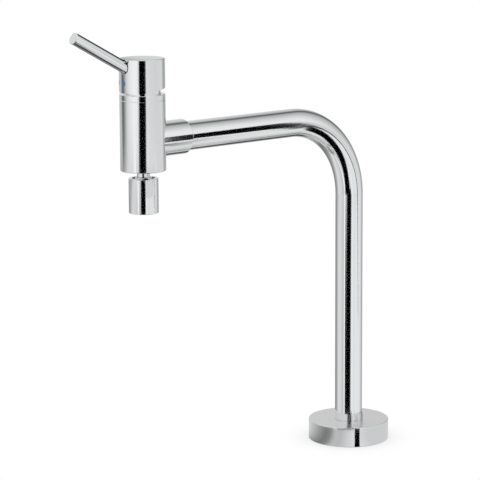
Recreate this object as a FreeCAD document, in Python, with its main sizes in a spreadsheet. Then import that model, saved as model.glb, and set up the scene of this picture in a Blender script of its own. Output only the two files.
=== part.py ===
"""Basin mixer tap: a swivelling spout on a round base, with its single lever mixer at the outlet end.

Millimetres, +Z up. The origin is on the riser's axis in the plane of the deck, and the arm points to -Y.
Heights of the head count from the arm's axis, and those of the aerator from the centre of its ball.
"""
import FreeCAD, Part
import Sketcher
import math
import os
import re

# Driving dimensions: alias, millimetres or degrees, what it is.
SIZES = [
    ("tube_diameter", 28.0, "outside of the spout tube"),
    ("tube_wall", 1.5, "wall of the spout tube"),
    ("tube_foot", 2.5, "lower end of the tube above the deck"),
    ("reach", 265.0, "riser axis to mixer axis"),
    ("arm_height", 338.0, "deck to arm axis"),
    ("bend_radius", 80.0, "centre line of the bend"),
    ("flange_diameter", 82.8, "outside of the base flange"),
    ("flange_height", 20.5, "height of the base flange"),
    ("flange_side", 2.6, "side wall of the flange"),
    ("flange_top", 3.0, "top wall of the flange"),
    ("flange_rounding", 0.5, "rounded edges of the flange"),
    ("gasket_thickness", 1.5, "deck gasket, flush with the flange's rim"),
    ("gasket_width", 4.0, "radial width of the deck gasket"),
    ("gasket_margin", 1.2, "foot left outside the gasket"),
    ("recess_depth", 6.0, "clip recess under the foot"),
    ("recess_width", 5.0, "clip recess beyond the tube"),
    ("shoulder_height", 3.0, "foot's shoulder that carries the tube"),
    ("washer_thickness", 1.0, "thrust washer under the bearing ring"),
    ("bearing_width", 2.5, "radial width of the bearing ring on the tube"),
    ("bearing_height", 3.0, "height of the bearing ring"),
    ("bush_height", 2.0, "guide bush under the flange top"),
    ("foot_ring_height", 6.5, "ring at the tube's foot, above the flange"),
    ("foot_ring_width", 0.7, "that ring beyond the tube"),
    ("clip_thickness", 1.2, "retaining clip"),
    ("clip_groove", 0.7, "depth of the clip's groove in the tube"),
    ("clip_width", 3.0, "radial width of the retaining clip"),
    ("clip_gap_angle", 40.0, "gap of the retaining clip"),
    ("stud_pitch", 54.0, "pitch circle of the deck stud holes"),
    ("stud_hole", 8.0, "deck stud hole"),
    ("stud_depth", 12.0, "depth of the deck stud holes"),
    ("stop_diameter", 4.0, "swivel stop screw"),
    ("stop_length", 12.0, "length of the stop screw's body"),
    ("stop_point", 2.5, "dog point of the stop screw"),
    ("swivel_angle", 75.0, "spout swing to each side"),
    ("hose_diameter", 9.6, "supply hose"),
    ("hose_bore", 6.0, "bore of the supply hose"),
    ("hose_pitch", 14.8, "centre distance of the two hoses"),
    ("inlet_length", 12.0, "body of an inlet nipple"),
    ("inlet_diameter", 8.8, "outside of an inlet nipple"),
    ("inlet_thread", 7.2, "inlet socket of a nipple"),
    ("inlet_depth", 8.0, "depth of the inlet socket"),
    ("tail_length", 7.0, "tail of a nipple inside the hose"),
    ("tail_bore", 3.6, "water way through a nipple"),
    ("spacer_height", 4.0, "hose spacer in the tube's foot"),
    ("body_diameter", 43.5, "outside of the mixer body"),
    ("body_drop", 28.0, "arm axis to the body's underside"),
    ("body_rounding", 1.0, "rounded lower edge of the body"),
    ("socket_rounding", 2.0, "rounded mouth of the collar's socket"),
    ("collar_diameter", 33.4, "outside of the arm collar"),
    ("collar_reach", 50.0, "mixer axis to the collar's free end"),
    ("collar_chamfer", 2.65, "bevel at the collar's free end"),
    ("collar_seat", 12.0, "mixer axis to the collar's seat in the body"),
    ("tube_seat", 10.0, "mixer axis to the tube's seat in the body"),
    ("port_thread", 7.6, "hose end thread in the body"),
    ("port_depth", 17.0, "length of a port in the body"),
    ("port_nipple", 4.4, "thread of a hose end in its port"),
    ("port_collar", 4.0, "collar of a hose end"),
    ("way_diameter", 5.0, "water ways between body and cartridge"),
    ("way_front", 4.0, "hot and cold way ahead of the mixer axis"),
    ("outlet_back", 2.0, "mixed water way behind the mixer axis"),
    ("floor_wall", 0.8, "metal between collar and cartridge floor"),
    ("cartridge_diameter", 34.8, "outside of the cartridge"),
    ("cartridge_wall", 2.6, "wall of the cartridge shell"),
    ("seal_thickness", 1.0, "port seals"),
    ("seal_width", 1.6, "radial width of a port seal"),
    ("base_thickness", 3.0, "cartridge base"),
    ("disc_thickness", 3.0, "each ceramic disc"),
    ("disc_gap", 0.05, "sliding film between the discs"),
    ("disc_travel", 2.7, "free space round the moving disc"),
    ("mixing_diameter", 11.0, "mixing pocket under the moving disc"),
    ("carrier_height", 3.4, "carrier on the moving disc"),
    ("finger_diameter", 4.4, "ball end of the stem in the carrier"),
    ("finger_sink", 0.6, "centre of the ball end below the carrier's top"),
    ("stem_arm", 8.6, "pivot to the ball end"),
    ("waist_diameter", 3.4, "waist of the stem above its ball end"),
    ("spindle_gap", 0.3, "end play of the spindle"),
    ("shoulder_thickness", 1.95, "shoulder of the spindle"),
    ("shell_top", 1.5, "top wall of the cartridge shell"),
    ("spindle_neck", 25.4, "neck of the spindle"),
    ("spindle_rise", 5.5, "spindle above the pivot"),
    ("stem_width", 7.8, "square of the lever stem"),
    ("pin_diameter", 3.0, "pivot pin of the stem"),
    ("nut_height", 5.4, "cartridge nut"),
    ("nut_width", 1.75, "nut beyond the cartridge"),
    ("nut_bore", 30.0, "bore of the cartridge nut"),
    ("ring_height", 5.45, "trim ring above the body"),
    ("ring_bevel", 0.3, "bevels of the trim ring and of the body's upper edge"),
    ("throat_height", 11.0, "throat above the body"),
    ("throat_diameter", 34.8, "outside of the throat"),
    ("throat_wall", 1.4, "wall of the throat"),
    ("throat_rounding", 2.0, "rounded shoulder of the throat"),
    ("throat_hole", 21.6, "hole in the throat for the stem"),
    ("cap_gap", 1.95, "trim ring to cap"),
    ("cap_height", 31.6, "handle cap"),
    ("cap_wall", 1.75, "side wall of the handle cap"),
    ("cap_rounding", 0.5, "rounded upper edge of the cap"),
    ("cut_slope", 8.3, "slope of the cap's rear cut"),
    ("cut_front", 13.4, "start of the rear cut ahead of the axis"),
    ("socket_depth", 8.0, "stem socket in the cap"),
    ("lift_angle", 16.0, "lever lift, closed to fully open"),
    ("lever_diameter", 11.2, "lever rod"),
    ("lever_slope", 28.3, "lever above the horizontal"),
    ("lever_reach", 88.9, "mixer axis to the lever's tip, along the rod"),
    ("lever_sink", 18.3, "cap top to where the rod's axis meets the mixer's"),
    ("lever_seat", 2.75, "rod's seat inside the cap's outside"),
    ("lever_rounding", 0.5, "rounded edge of the lever's tip"),
    ("rod_pocket", 12.6, "pocket of the rod in the cap"),
    ("spigot_diameter", 6.0, "threaded spigot of the rod"),
    ("spigot_length", 11.0, "length of the spigot"),
    ("screw_diameter", 4.0, "grub screws of cap and collar"),
    ("screw_length", 6.0, "grub screw of the cap"),
    ("mark_diameter", 5.0, "hot and cold mark"),
    ("mark_depth", 0.6, "recess of a mark"),
    ("mark_rise", 9.2, "cap's lower edge to the marks"),
    ("cold_angle", 0.0, "cold mark, from the lever"),
    ("hot_angle", 29.0, "hot mark, from the lever"),
    ("stud_thread", 12.0, "thread of the ball stud"),
    ("stud_reach", 12.0, "length of that thread"),
    ("neck_diameter", 12.4, "neck of the ball stud"),
    ("stud_bore", 7.0, "water way through the ball stud"),
    ("ball_diameter", 18.4, "ball of the ball stud"),
    ("ball_drop", 12.5, "body's underside to the ball's centre"),
    ("o_ring_section", 1.5, "section of the round seals"),
    ("liner_thickness", 0.5, "liner between ball and seat"),
    ("liner_top", 2.6, "liner above the ball's centre"),
    ("liner_bottom", 4.6, "liner below the ball's centre"),
    ("aerator_diameter", 28.4, "outside of the aerator housing"),
    ("aerator_length", 33.3, "length of the aerator housing"),
    ("aerator_rise", 5.4, "housing above the ball's centre"),
    ("aerator_wall", 1.7, "wall of the aerator housing"),
    ("aerator_lip", 1.5, "top lip of the housing"),
    ("aerator_mouth", 21.9, "opening round the ball"),
    ("aerator_rounding", 0.6, "rounded edges of the housing"),
    ("seat_bottom", 1.5, "seat below the ball's centre"),
    ("seat_cone", 0.9, "cone at the top of the seat"),
    ("seal_height", 7.5, "ball seal"),
    ("seal_hole", 11.0, "water way below the ball"),
    ("support_height", 2.8, "threaded ring under the ball seal"),
    ("aerator_washer_height", 1.5, "washer over the insert"),
    ("aerator_washer_hole", 17.6, "hole of that washer"),
    ("insert_height", 11.0, "flow insert"),
    ("insert_hole", 3.2, "holes of the flow insert"),
    ("insert_pitch", 13.0, "pitch circle of those holes"),
    ("mesh_thickness", 0.6, "outlet mesh"),
    ("mesh_hole", 2.2, "hole of the outlet mesh"),
    ("mesh_step", 3.2, "ring to ring distance in the mesh"),
    ("end_ring_height", 2.4, "threaded ring at the outlet"),
    ("end_ring_width", 1.9, "radial width of that ring"),
    ("running_gap", 0.05, "radial clearance of a running fit"),
    ("seat_gap", 0.1, "clearance of pieces fixed in each other"),
    ("free_gap", 0.3, "clearance of pieces that pass each other"),
]

# Sizes worked out from the driving ones.
WORKED_OUT = {
    "tube_radius": "tube_diameter / 2",
    "tube_bore": "tube_radius - tube_wall",
    "flange_radius": "flange_diameter / 2",
    "foot_radius": "flange_radius - flange_side - seat_gap",
    "foot_height": "flange_height - flange_top",
    "gasket_outer": "foot_radius - gasket_margin",
    "gasket_inner": "gasket_outer - gasket_width",
    "recess_radius": "tube_radius + recess_width",
    "shoulder_rise": "recess_depth + shoulder_height",
    "bearing_radius": "tube_radius + bearing_width",
    "bearing_foot": "shoulder_rise + washer_thickness",
    "stop_height": "recess_depth + shoulder_height / 2",
    "stop_start": "bearing_radius + 1",
    "clip_bottom": "recess_depth - washer_thickness / 2 - clip_thickness - running_gap",
    "hose_side": "hose_pitch / 2",
    "hose_start": "tube_foot + inlet_length",
    "body_radius": "body_diameter / 2",
    "collar_radius": "collar_diameter / 2",
    "cartridge_radius": "cartridge_diameter / 2",
    "cartridge_bore": "cartridge_radius - cartridge_wall",
    "cartridge_floor": "collar_radius + floor_wall",
    "base_rise": "cartridge_floor + base_thickness",
    "fixed_disc_rise": "base_rise + disc_thickness",
    "moving_disc_foot": "fixed_disc_rise + disc_gap",
    "carrier_foot": "moving_disc_foot + disc_thickness",
    "carrier_rise": "carrier_foot + carrier_height",
    "spindle_foot": "carrier_rise + spindle_gap",
    "spindle_shoulder": "spindle_foot + shoulder_thickness",
    "shell_lip": "spindle_shoulder + spindle_gap",
    "shell_rise": "shell_lip + shell_top",
    "body_rise": "shell_rise + nut_height",
    "pivot_rise": "carrier_rise - finger_sink + stem_arm",
    "nut_radius": "cartridge_radius + nut_width",
    "disc_radius": "cartridge_bore - seat_gap",
    "moving_radius": "cartridge_bore - disc_travel",
    "cap_inside": "body_radius - cap_wall",
    "throat_radius": "throat_diameter / 2",
    "throat_rise": "body_rise + throat_height",
    "ring_rise": "body_rise + ring_height",
    "cap_foot": "ring_rise + cap_gap",
    "cap_rise": "cap_foot + cap_height",
    "cap_ceiling": "pivot_rise + cap_inside + seat_gap",
    "lever_rise": "cap_rise - lever_sink",
    "rod_seat": "body_radius - lever_seat",
    "mark_height": "cap_foot + mark_rise",
    "cap_screw_height": "cap_ceiling + socket_depth / 2",
    "ball_radius": "ball_diameter / 2",
    "ball_height": "-body_drop - ball_drop",
    "liner_inner": "ball_radius + running_gap",
    "liner_outer": "liner_inner + liner_thickness",
    "seat_radius": "liner_outer + running_gap",
    "housing_bore": "aerator_diameter / 2 - aerator_wall",
    "filling_radius": "housing_bore - seat_gap",
    "seat_top": "aerator_rise - aerator_lip",
    "seal_foot": "-seat_bottom - seal_height",
    "support_foot": "seal_foot - support_height",
    "washer_foot": "support_foot - aerator_washer_height",
    "insert_foot": "washer_foot - insert_height",
    "mesh_foot": "insert_foot - mesh_thickness",
    "end_ring_foot": "mesh_foot - end_ring_height",
    "housing_foot": "aerator_rise - aerator_length",
}

ON_ARC = None
SIDES = {"hot": -1, "cold": 1}

doc = FreeCAD.newDocument("mixer_tap")
sheet = doc.addObject("Spreadsheet::Sheet", "Sizes")
for row, (alias, value, meaning) in enumerate(SIZES, start=1):
    sheet.set(f"A{row}", alias)
    sheet.set(f"B{row}", str(value))
    sheet.set(f"C{row}", meaning)
    sheet.setAlias(f"B{row}", alias)
doc.recompute()
ALIASES = {alias for alias, value, meaning in SIZES}
NODES = []


def cells(text):
    """Writes a formula of size names as an expression on the sheet's cells."""
    def swap(found):
        word = found.group(0)
        if word in WORKED_OUT:
            return "(" + cells(WORKED_OUT[word]) + ")"
        return "Sizes." + word if word in ALIASES else word
    return re.sub(r"[a-z_]{4,}", swap, text)


def number(text):
    """The present value of a formula of size names."""
    value = sheet.evalExpression(cells(text))
    return float(getattr(value, "Value", value))


def bind(thing, prop, text):
    thing.setExpression(prop, cells(text))


def spot(y="0", z="0", turn="0", x="0", about="1; 0; 0"):
    """A placement formula: a turn about an axis, then a move."""
    return f"placement(vector({x}; {y}; {z}); rotation(vector({about}); {turn}))"


DECK = spot()
HEAD = spot(y="-reach", z="arm_height")
BALL = spot(y="-reach", z="arm_height + ball_height")
PIVOT = spot(y="-reach", z="arm_height + pivot_rise")
ALONG_Y = "-90"


def new_piece(label, place):
    """An empty body for one sub-part."""
    body = doc.addObject("PartDesign::Body", label)
    body.Label = label
    bind(body, "Placement", place)
    NODES.append(body)
    return body


def origin_plane(body, role):
    return [feature for feature in body.Origin.OriginFeatures if feature.Role == role][0]


def new_sketch(body, name, role, offset=DECK):
    sketch = body.newObject("Sketcher::SketchObject", name)
    sketch.AttachmentSupport = [(origin_plane(body, role), "")]
    sketch.MapMode = "FlatFace"
    bind(sketch, "AttachmentOffset", offset)
    return sketch


def measure(sketch, kind, text, *points):
    """A dimension in a sketch, bound to a formula."""
    index = sketch.addConstraint(Sketcher.Constraint(kind, *points, number(text)))
    bind(sketch, f"Constraints[{index}]", text)


def draw_outline(sketch, corners, arcs):
    """A closed outline through corners. A side in arcs is a round one about the sketch's origin,
    and a corner whose x is ON_ARC finds its place on that round side."""
    spots = []
    for index, (x, y) in enumerate(corners):
        height = number(y)
        if x is ON_ARC:
            radius = arcs[index] if index in arcs else arcs[(index - 1) % len(corners)]
            spots.append((math.sqrt(number(radius) ** 2 - height ** 2), height))
        else:
            spots.append((number(x), height))
    ends = []
    for index, start in enumerate(spots):
        end = spots[(index + 1) % len(spots)]
        if index in arcs:
            first, last = math.atan2(start[1], start[0]), math.atan2(end[1], end[0])
            circle = Part.Circle(FreeCAD.Vector(), FreeCAD.Vector(0, 0, 1), number(arcs[index]))
            side = sketch.addGeometry(Part.ArcOfCircle(circle, min(first, last), max(first, last)), False)
            sketch.addConstraint(Sketcher.Constraint("Coincident", side, 3, -1, 1))
            measure(sketch, "Radius", arcs[index], side)
            ends.append((side, 1, 2) if last > first else (side, 2, 1))
        else:
            line = Part.LineSegment(FreeCAD.Vector(*start), FreeCAD.Vector(*end))
            ends.append((sketch.addGeometry(line, False), 1, 2))
    for index, (side, start, end) in enumerate(ends):
        following, first, last = ends[(index + 1) % len(ends)]
        sketch.addConstraint(Sketcher.Constraint("Coincident", side, end, following, first))
        x, y = corners[index]
        if x is not ON_ARC:
            measure(sketch, "DistanceX", x, -1, 1, side, start)
        measure(sketch, "DistanceY", y, -1, 1, side, start)


def turn_outline(body, corners, arcs=None):
    """A turned solid: an outline of (radius, height) corners, revolved about the body's Z axis."""
    sketch = new_sketch(body, body.Name + "_outline", "XZ_Plane")
    draw_outline(sketch, corners, arcs or {})
    doc.recompute()
    turned = body.newObject("PartDesign::Revolution", body.Name + "_turned")
    turned.Profile = sketch
    turned.ReferenceAxis = (sketch, ["V_Axis"])
    turned.Angle = 360
    doc.recompute()
    return turned


def ring(label, place, inner, outer, low, high, arcs=None):
    """A plain turned ring or disc between two radii and two heights."""
    body = new_piece(label, place)
    turn_outline(body, [(inner, low), (outer, low), (outer, high), (inner, high)], arcs)
    return body


def primitive(body, kind, name, place, **sizes):
    feature = body.newObject("PartDesign::" + kind, name)
    feature.AttachmentSupport = [(origin_plane(body, "XY_Plane"), "")]
    feature.MapMode = "FlatFace"
    bind(feature, "AttachmentOffset", place)
    for prop, text in sizes.items():
        bind(feature, prop, text)
    doc.recompute()
    return feature


def drill(body, name, place, diameter, depth):
    """A round hole along the placed Z axis, which has to take metal away."""
    before = body.Shape.Volume
    hole = primitive(body, "SubtractiveCylinder", name, place, Radius=f"({diameter}) / 2", Height=depth)
    if body.Shape.Volume >= before:
        raise ValueError(f"{body.Label}: {name} cuts nothing")
    return hole


def mill(body, name, low, high, place=DECK):
    """A square pocket between two corners in a placed frame, which has to take metal away."""
    before = body.Shape.Volume
    shift = "; ".join(low)
    pocket = primitive(
        body, "SubtractiveBox", name,
        f"{place} * placement(vector({shift}); rotation(vector(1; 0; 0); 0))",
        Length=f"({high[0]}) - ({low[0]})",
        Width=f"({high[1]}) - ({low[1]})",
        Height=f"({high[2]}) - ({low[2]})",
    )
    if body.Shape.Volume >= before:
        raise ValueError(f"{body.Label}: {name} cuts nothing")
    return pocket


def repeat_round(body, feature, count):
    """Copies of a feature round the body's Z axis."""
    pattern = body.newObject("PartDesign::PolarPattern", feature.Name + "_round")
    pattern.Originals = [feature]
    pattern.Axis = (origin_plane(body, "Z_Axis"), [""])
    pattern.Angle = 360
    pattern.Occurrences = count
    body.Tip = pattern
    doc.recompute()
    return pattern


def round_edges(body, kind, name, size, rims):
    """A fillet or chamfer on the round edges whose radius and height are given."""
    picks = []
    base = body.Tip
    for rim in rims:
        radius, height = map(number, rim)
        for index, edge in enumerate(base.Shape.Edges, start=1):
            curve = edge.Curve
            if not isinstance(curve, Part.Circle) or abs(curve.Axis.z) < 0.99:
                continue
            if abs(curve.Radius - radius) < 0.01 and abs(edge.CenterOfMass.z - height) < 0.01:
                picks.append(f"Edge{index}")
    if len(picks) != len(rims):
        raise ValueError(f"{body.Label}: {name} finds {len(picks)} of {len(rims)} edges")
    feature = body.newObject("PartDesign::" + kind, name)
    feature.Base = (base, picks)
    bind(feature, "Radius" if kind == "Fillet" else "Size", size)
    doc.recompute()
    return feature


def base_flange():
    body = new_piece("base_flange", DECK)
    turn_outline(body, [
        ("flange_radius - flange_side", "0"),
        ("flange_radius", "0"),
        ("flange_radius", "flange_height"),
        ("tube_radius + running_gap", "flange_height"),
        ("tube_radius + running_gap", "foot_height"),
        ("flange_radius - flange_side", "foot_height"),
    ])
    round_edges(body, "Fillet", "flange_rim", "flange_rounding", [
        ("flange_radius", "flange_height"), ("flange_radius", "0")])


def foot_body():
    body = new_piece("foot_body", DECK)
    turn_outline(body, [
        ("recess_radius", "0"),
        ("gasket_inner", "0"),
        ("gasket_inner", "gasket_thickness"),
        ("gasket_outer", "gasket_thickness"),
        ("gasket_outer", "0"),
        ("foot_radius", "0"),
        ("foot_radius", "foot_height"),
        ("bearing_radius + seat_gap", "foot_height"),
        ("bearing_radius + seat_gap", "shoulder_rise"),
        ("tube_radius + seat_gap", "shoulder_rise"),
        ("tube_radius + seat_gap", "recess_depth"),
        ("recess_radius", "recess_depth"),
    ])
    for side in (-1, 1):
        drill(body, f"stud_hole_{side + 1}", spot(x=f"{side} * stud_pitch / 2"), "stud_hole",
              "stud_depth")
    drill(body, "stop_point_hole", spot(z="stop_height", turn=ALONG_Y),
          "stop_point + 2 * free_gap", "foot_radius + 1")
    drill(body, "stop_hole", spot(y="stop_start - seat_gap", z="stop_height", turn=ALONG_Y),
          "stop_diameter + 2 * running_gap", "foot_radius")


def base_seals():
    ring("base_gasket", DECK, "gasket_inner", "gasket_outer", "0", "gasket_thickness")
    ring("thrust_washer", DECK, "tube_radius + seat_gap", "bearing_radius", "shoulder_rise",
         "bearing_foot - running_gap")
    ring("foot_ring", DECK, "tube_radius + running_gap", "tube_radius + foot_ring_width",
         "flange_height + seat_gap", "flange_height + foot_ring_height")
    ring("guide_bush", DECK, "tube_radius + running_gap", "bearing_radius",
         "foot_height - bush_height", "foot_height")
    round_seal("foot_o_ring", DECK, "tube_radius + free_gap + o_ring_section / 2",
               "bearing_foot + bearing_height + free_gap + o_ring_section / 2")


def round_seal(label, place, radius, height):
    """A round seal: a circle carried round the axis."""
    body = new_piece(label, place)
    primitive(body, "AdditiveTorus", label + "_ring", spot(z=height), Radius1=radius,
              Radius2="o_ring_section / 2")
    return body


def stop_screw():
    """A grub screw in the foot whose dog point runs in the tube's slot and ends the swivel."""
    body = new_piece("stop_screw", spot(z="stop_height", turn=ALONG_Y))
    turn_outline(body, [
        ("0", "tube_radius - tube_wall / 2"),
        ("stop_point / 2", "tube_radius - tube_wall / 2"),
        ("stop_point / 2", "stop_start"),
        ("stop_diameter / 2", "stop_start"),
        ("stop_diameter / 2", "stop_start + stop_length"),
        ("0", "stop_start + stop_length"),
    ])
    key_socket(body, "stop_start + stop_length", "stop_diameter")


def key_socket(body, height, diameter):
    """A hexagon socket, half as wide as its screw, sunk from a face."""
    sketch = new_sketch(body, body.Name + "_hexagon", "XY_Plane", spot(z=height))
    across = number(f"{diameter} / 4")
    turns = [corner * math.pi / 3 for corner in range(7)]
    corners = [FreeCAD.Vector(across * math.cos(turn), across * math.sin(turn), 0) for turn in turns]
    lines = []
    for start, end in zip(corners, corners[1:]):
        lines.append(sketch.addGeometry(Part.LineSegment(start, end), False))
    guide = sketch.addGeometry(Part.Circle(FreeCAD.Vector(), FreeCAD.Vector(0, 0, 1), across), True)
    sketch.addConstraint(Sketcher.Constraint("Coincident", guide, 3, -1, 1))
    measure(sketch, "Radius", f"{diameter} / 4", guide)
    for corner, line in enumerate(lines):
        sketch.addConstraint(Sketcher.Constraint("Coincident", line, 2, lines[(corner + 1) % 6], 1))
        sketch.addConstraint(Sketcher.Constraint("PointOnObject", line, 1, guide))
        if corner:
            sketch.addConstraint(Sketcher.Constraint("Equal", lines[0], line))
    sketch.addConstraint(Sketcher.Constraint("PointOnObject", lines[0], 1, -1))
    doc.recompute()
    before = body.Shape.Volume
    socket = body.newObject("PartDesign::Pocket", body.Name + "_socket")
    socket.Profile = sketch
    bind(socket, "Length", f"{diameter} * 0.4")
    doc.recompute()
    if body.Shape.Volume >= before:
        raise ValueError(f"{body.Label}: the key socket cuts nothing")


def spout_path(body, side, start, end):
    """The spout's centre line, moved sideways: up the riser, round the bend and out along the arm."""
    path = new_sketch(body, body.Name + "_path", "YZ_Plane", spot(z=side))
    height, bend = number("arm_height"), number("bend_radius")
    low, out = number(start), number(end)
    riser = Part.LineSegment(FreeCAD.Vector(0, low), FreeCAD.Vector(0, height - bend))
    circle = Part.Circle(FreeCAD.Vector(-bend, height - bend), FreeCAD.Vector(0, 0, 1), bend)
    arm = Part.LineSegment(FreeCAD.Vector(-bend, height), FreeCAD.Vector(out, height))
    riser = path.addGeometry(riser, False)
    bow = path.addGeometry(Part.ArcOfCircle(circle, 0, math.pi / 2), False)
    arm = path.addGeometry(arm, False)
    path.addConstraint(Sketcher.Constraint("Tangent", riser, 2, bow, 1))
    path.addConstraint(Sketcher.Constraint("Tangent", bow, 2, arm, 1))
    path.addConstraint(Sketcher.Constraint("Vertical", riser))
    path.addConstraint(Sketcher.Constraint("Horizontal", arm))
    path.addConstraint(Sketcher.Constraint("PointOnObject", riser, 1, -2))
    measure(path, "DistanceY", start, -1, 1, riser, 1)
    measure(path, "Radius", "bend_radius", bow)
    measure(path, "DistanceY", "arm_height", -1, 1, arm, 2)
    measure(path, "DistanceX", end, -1, 1, arm, 2)
    return path


def pipe_along_spout(label, side, start, end, outer, inner):
    """A round pipe along the spout's centre line or beside it."""
    body = new_piece(label, DECK)
    path = spout_path(body, side, start, end)
    section = new_sketch(body, label + "_section", "XY_Plane", spot(x=side, z=start))
    for radius in (outer, inner):
        circle = Part.Circle(FreeCAD.Vector(), FreeCAD.Vector(0, 0, 1), number(radius))
        wall = section.addGeometry(circle, False)
        section.addConstraint(Sketcher.Constraint("Coincident", wall, 3, -1, 1))
        measure(section, "Radius", radius, wall)
    doc.recompute()
    pipe = body.newObject("PartDesign::AdditivePipe", label + "_pipe")
    pipe.Profile = section
    pipe.Spine = (path, ["Edge1", "Edge2", "Edge3"])
    doc.recompute()
    length = number(
        f"(arm_height - bend_radius - ({start})) + bend_radius * {math.pi / 2} + (-bend_radius - ({end}))")
    expected = math.pi * (number(outer) ** 2 - number(inner) ** 2) * length
    if abs(body.Shape.Volume / expected - 1) > 0.001:
        raise ValueError(f"{label}: volume {body.Shape.Volume:.0f}, expected {expected:.0f}")
    return body


def groove(body, name, corners, angle="360", start="0"):
    """A turned groove about the body's Z axis, over an angle from a start direction."""
    sketch = new_sketch(body, name + "_outline", "XZ_Plane", spot(about="0; 1; 0", turn=start))
    draw_outline(sketch, corners, {})
    doc.recompute()
    before = body.Shape.Volume
    cut = body.newObject("PartDesign::Groove", name)
    cut.Profile = sketch
    cut.ReferenceAxis = (sketch, ["V_Axis"])
    bind(cut, "Angle", angle)
    doc.recompute()
    if body.Shape.Volume >= before:
        raise ValueError(f"{body.Label}: {name} cuts nothing")
    return cut


def spout_tube():
    """The spout's tube, with the clip's groove and the slot that the stop screw runs in."""
    body = pipe_along_spout("spout_tube", "0", "tube_foot", "tube_seat - reach", "tube_radius", "tube_bore")
    groove(body, "clip_groove_cut", [
        ("tube_radius - clip_groove", "clip_bottom - running_gap"),
        ("tube_radius + 1", "clip_bottom - running_gap"),
        ("tube_radius + 1", "clip_bottom + clip_thickness + running_gap"),
        ("tube_radius - clip_groove", "clip_bottom + clip_thickness + running_gap"),
    ])
    half_slot = "(swivel_angle + 90 * (stop_point + 2 * free_gap) / (3 * tube_radius))"
    groove(body, "stop_slot", [
        ("tube_bore - 1", "stop_height - stop_point / 2 - free_gap"),
        ("tube_radius + 1", "stop_height - stop_point / 2 - free_gap"),
        ("tube_radius + 1", "stop_height + stop_point / 2 + free_gap"),
        ("tube_bore - 1", "stop_height + stop_point / 2 + free_gap"),
    ], angle=f"2 * {half_slot}", start=f"90 - {half_slot}")


def tube_fittings():
    """Ring and clip that hold the tube in the foot, and the spacer that holds the hose ends."""
    ring("bearing_ring", DECK, "tube_radius + running_gap", "bearing_radius", "bearing_foot",
         "bearing_foot + bearing_height")
    ring("retaining_washer", DECK, "tube_radius + seat_gap", "tube_radius + clip_width",
         "recess_depth - washer_thickness / 2", "recess_depth")
    clip = ring("retaining_clip", DECK, "tube_radius - clip_groove + running_gap", "tube_radius + clip_width",
                "clip_bottom", "clip_bottom + clip_thickness")
    groove(clip, "clip_gap", [
        ("tube_radius - clip_groove - 1", "clip_bottom - 1"),
        ("tube_radius + clip_width + 1", "clip_bottom - 1"),
        ("tube_radius + clip_width + 1", "clip_bottom + clip_thickness + 1"),
        ("tube_radius - clip_groove - 1", "clip_bottom + clip_thickness + 1"),
    ], angle="clip_gap_angle")
    spacer = ring("hose_spacer", DECK, "0", "tube_bore - seat_gap", "tube_foot", "tube_foot + spacer_height")
    for name, side in SIDES.items():
        drill(spacer, name + "_seat", spot(x=f"{side} * hose_side", z="tube_foot - 1"),
              "inlet_diameter + 2 * seat_gap", "spacer_height + 2")


def hoses():
    """The two supply hoses inside the tube, each with a nipple at its foot and one in the mixer body."""
    for name, side in SIDES.items():
        offset = f"{side} * hose_side"
        pipe_along_spout(name + "_hose", offset, "hose_start", "tube_seat + port_collar - reach",
                         "hose_diameter / 2", "hose_bore / 2")
        inlet = new_piece(name + "_inlet", spot(x=offset))
        turn_outline(inlet, [
            ("inlet_thread / 2", "tube_foot"),
            ("inlet_diameter / 2", "tube_foot"),
            ("inlet_diameter / 2", "hose_start"),
            ("hose_bore / 2 - seat_gap", "hose_start"),
            ("hose_bore / 2 - seat_gap", "hose_start + tail_length"),
            ("tail_bore / 2", "hose_start + tail_length"),
            ("tail_bore / 2", "tube_foot + inlet_depth"),
            ("inlet_thread / 2", "tube_foot + inlet_depth"),
        ])
        end = new_piece(name + "_hose_end", spot(x=offset, y="-reach", z="arm_height", turn=ALONG_Y))
        turn_outline(end, [
            ("tail_bore / 2", "tube_seat - port_nipple"),
            ("port_thread / 2 - running_gap", "tube_seat - port_nipple"),
            ("port_thread / 2 - running_gap", "tube_seat"),
            ("hose_diameter / 2", "tube_seat"),
            ("hose_diameter / 2", "tube_seat + port_collar"),
            ("hose_bore / 2 - seat_gap", "tube_seat + port_collar"),
            ("hose_bore / 2 - seat_gap", "tube_seat + port_collar + tail_length"),
            ("tail_bore / 2", "tube_seat + port_collar + tail_length"),
        ])


def arm_collar():
    """The sleeve that joins the arm to the mixer body, bevelled down to the tube at its free end."""
    body = new_piece("arm_collar", spot(y="-reach", z="arm_height", turn=ALONG_Y))
    turn_outline(body, [
        ("tube_radius + running_gap", "collar_seat"),
        ("collar_radius", "collar_seat"),
        ("collar_radius", "collar_reach - collar_chamfer"),
        ("collar_radius - collar_chamfer + running_gap", "collar_reach"),
        ("tube_radius + running_gap", "collar_reach"),
    ])
    drill(body, "collar_screw_hole", spot(z="collar_seat + collar_reach / 2", turn="-90"),
          "screw_diameter + 2 * running_gap", "collar_radius + 1")


def collar_screw():
    """A grub screw under the collar, which holds the tube in it."""
    place = spot(y="collar_seat + collar_reach / 2 - reach", z="arm_height", turn="180")
    body = new_piece("collar_screw", place)
    turn_outline(body, [
        ("0", "tube_radius + running_gap"),
        ("screw_diameter / 2", "tube_radius + running_gap"),
        ("screw_diameter / 2", "collar_radius - free_gap"),
        ("0", "collar_radius - free_gap"),
    ])
    key_socket(body, "collar_radius - free_gap", "screw_diameter")


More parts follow.
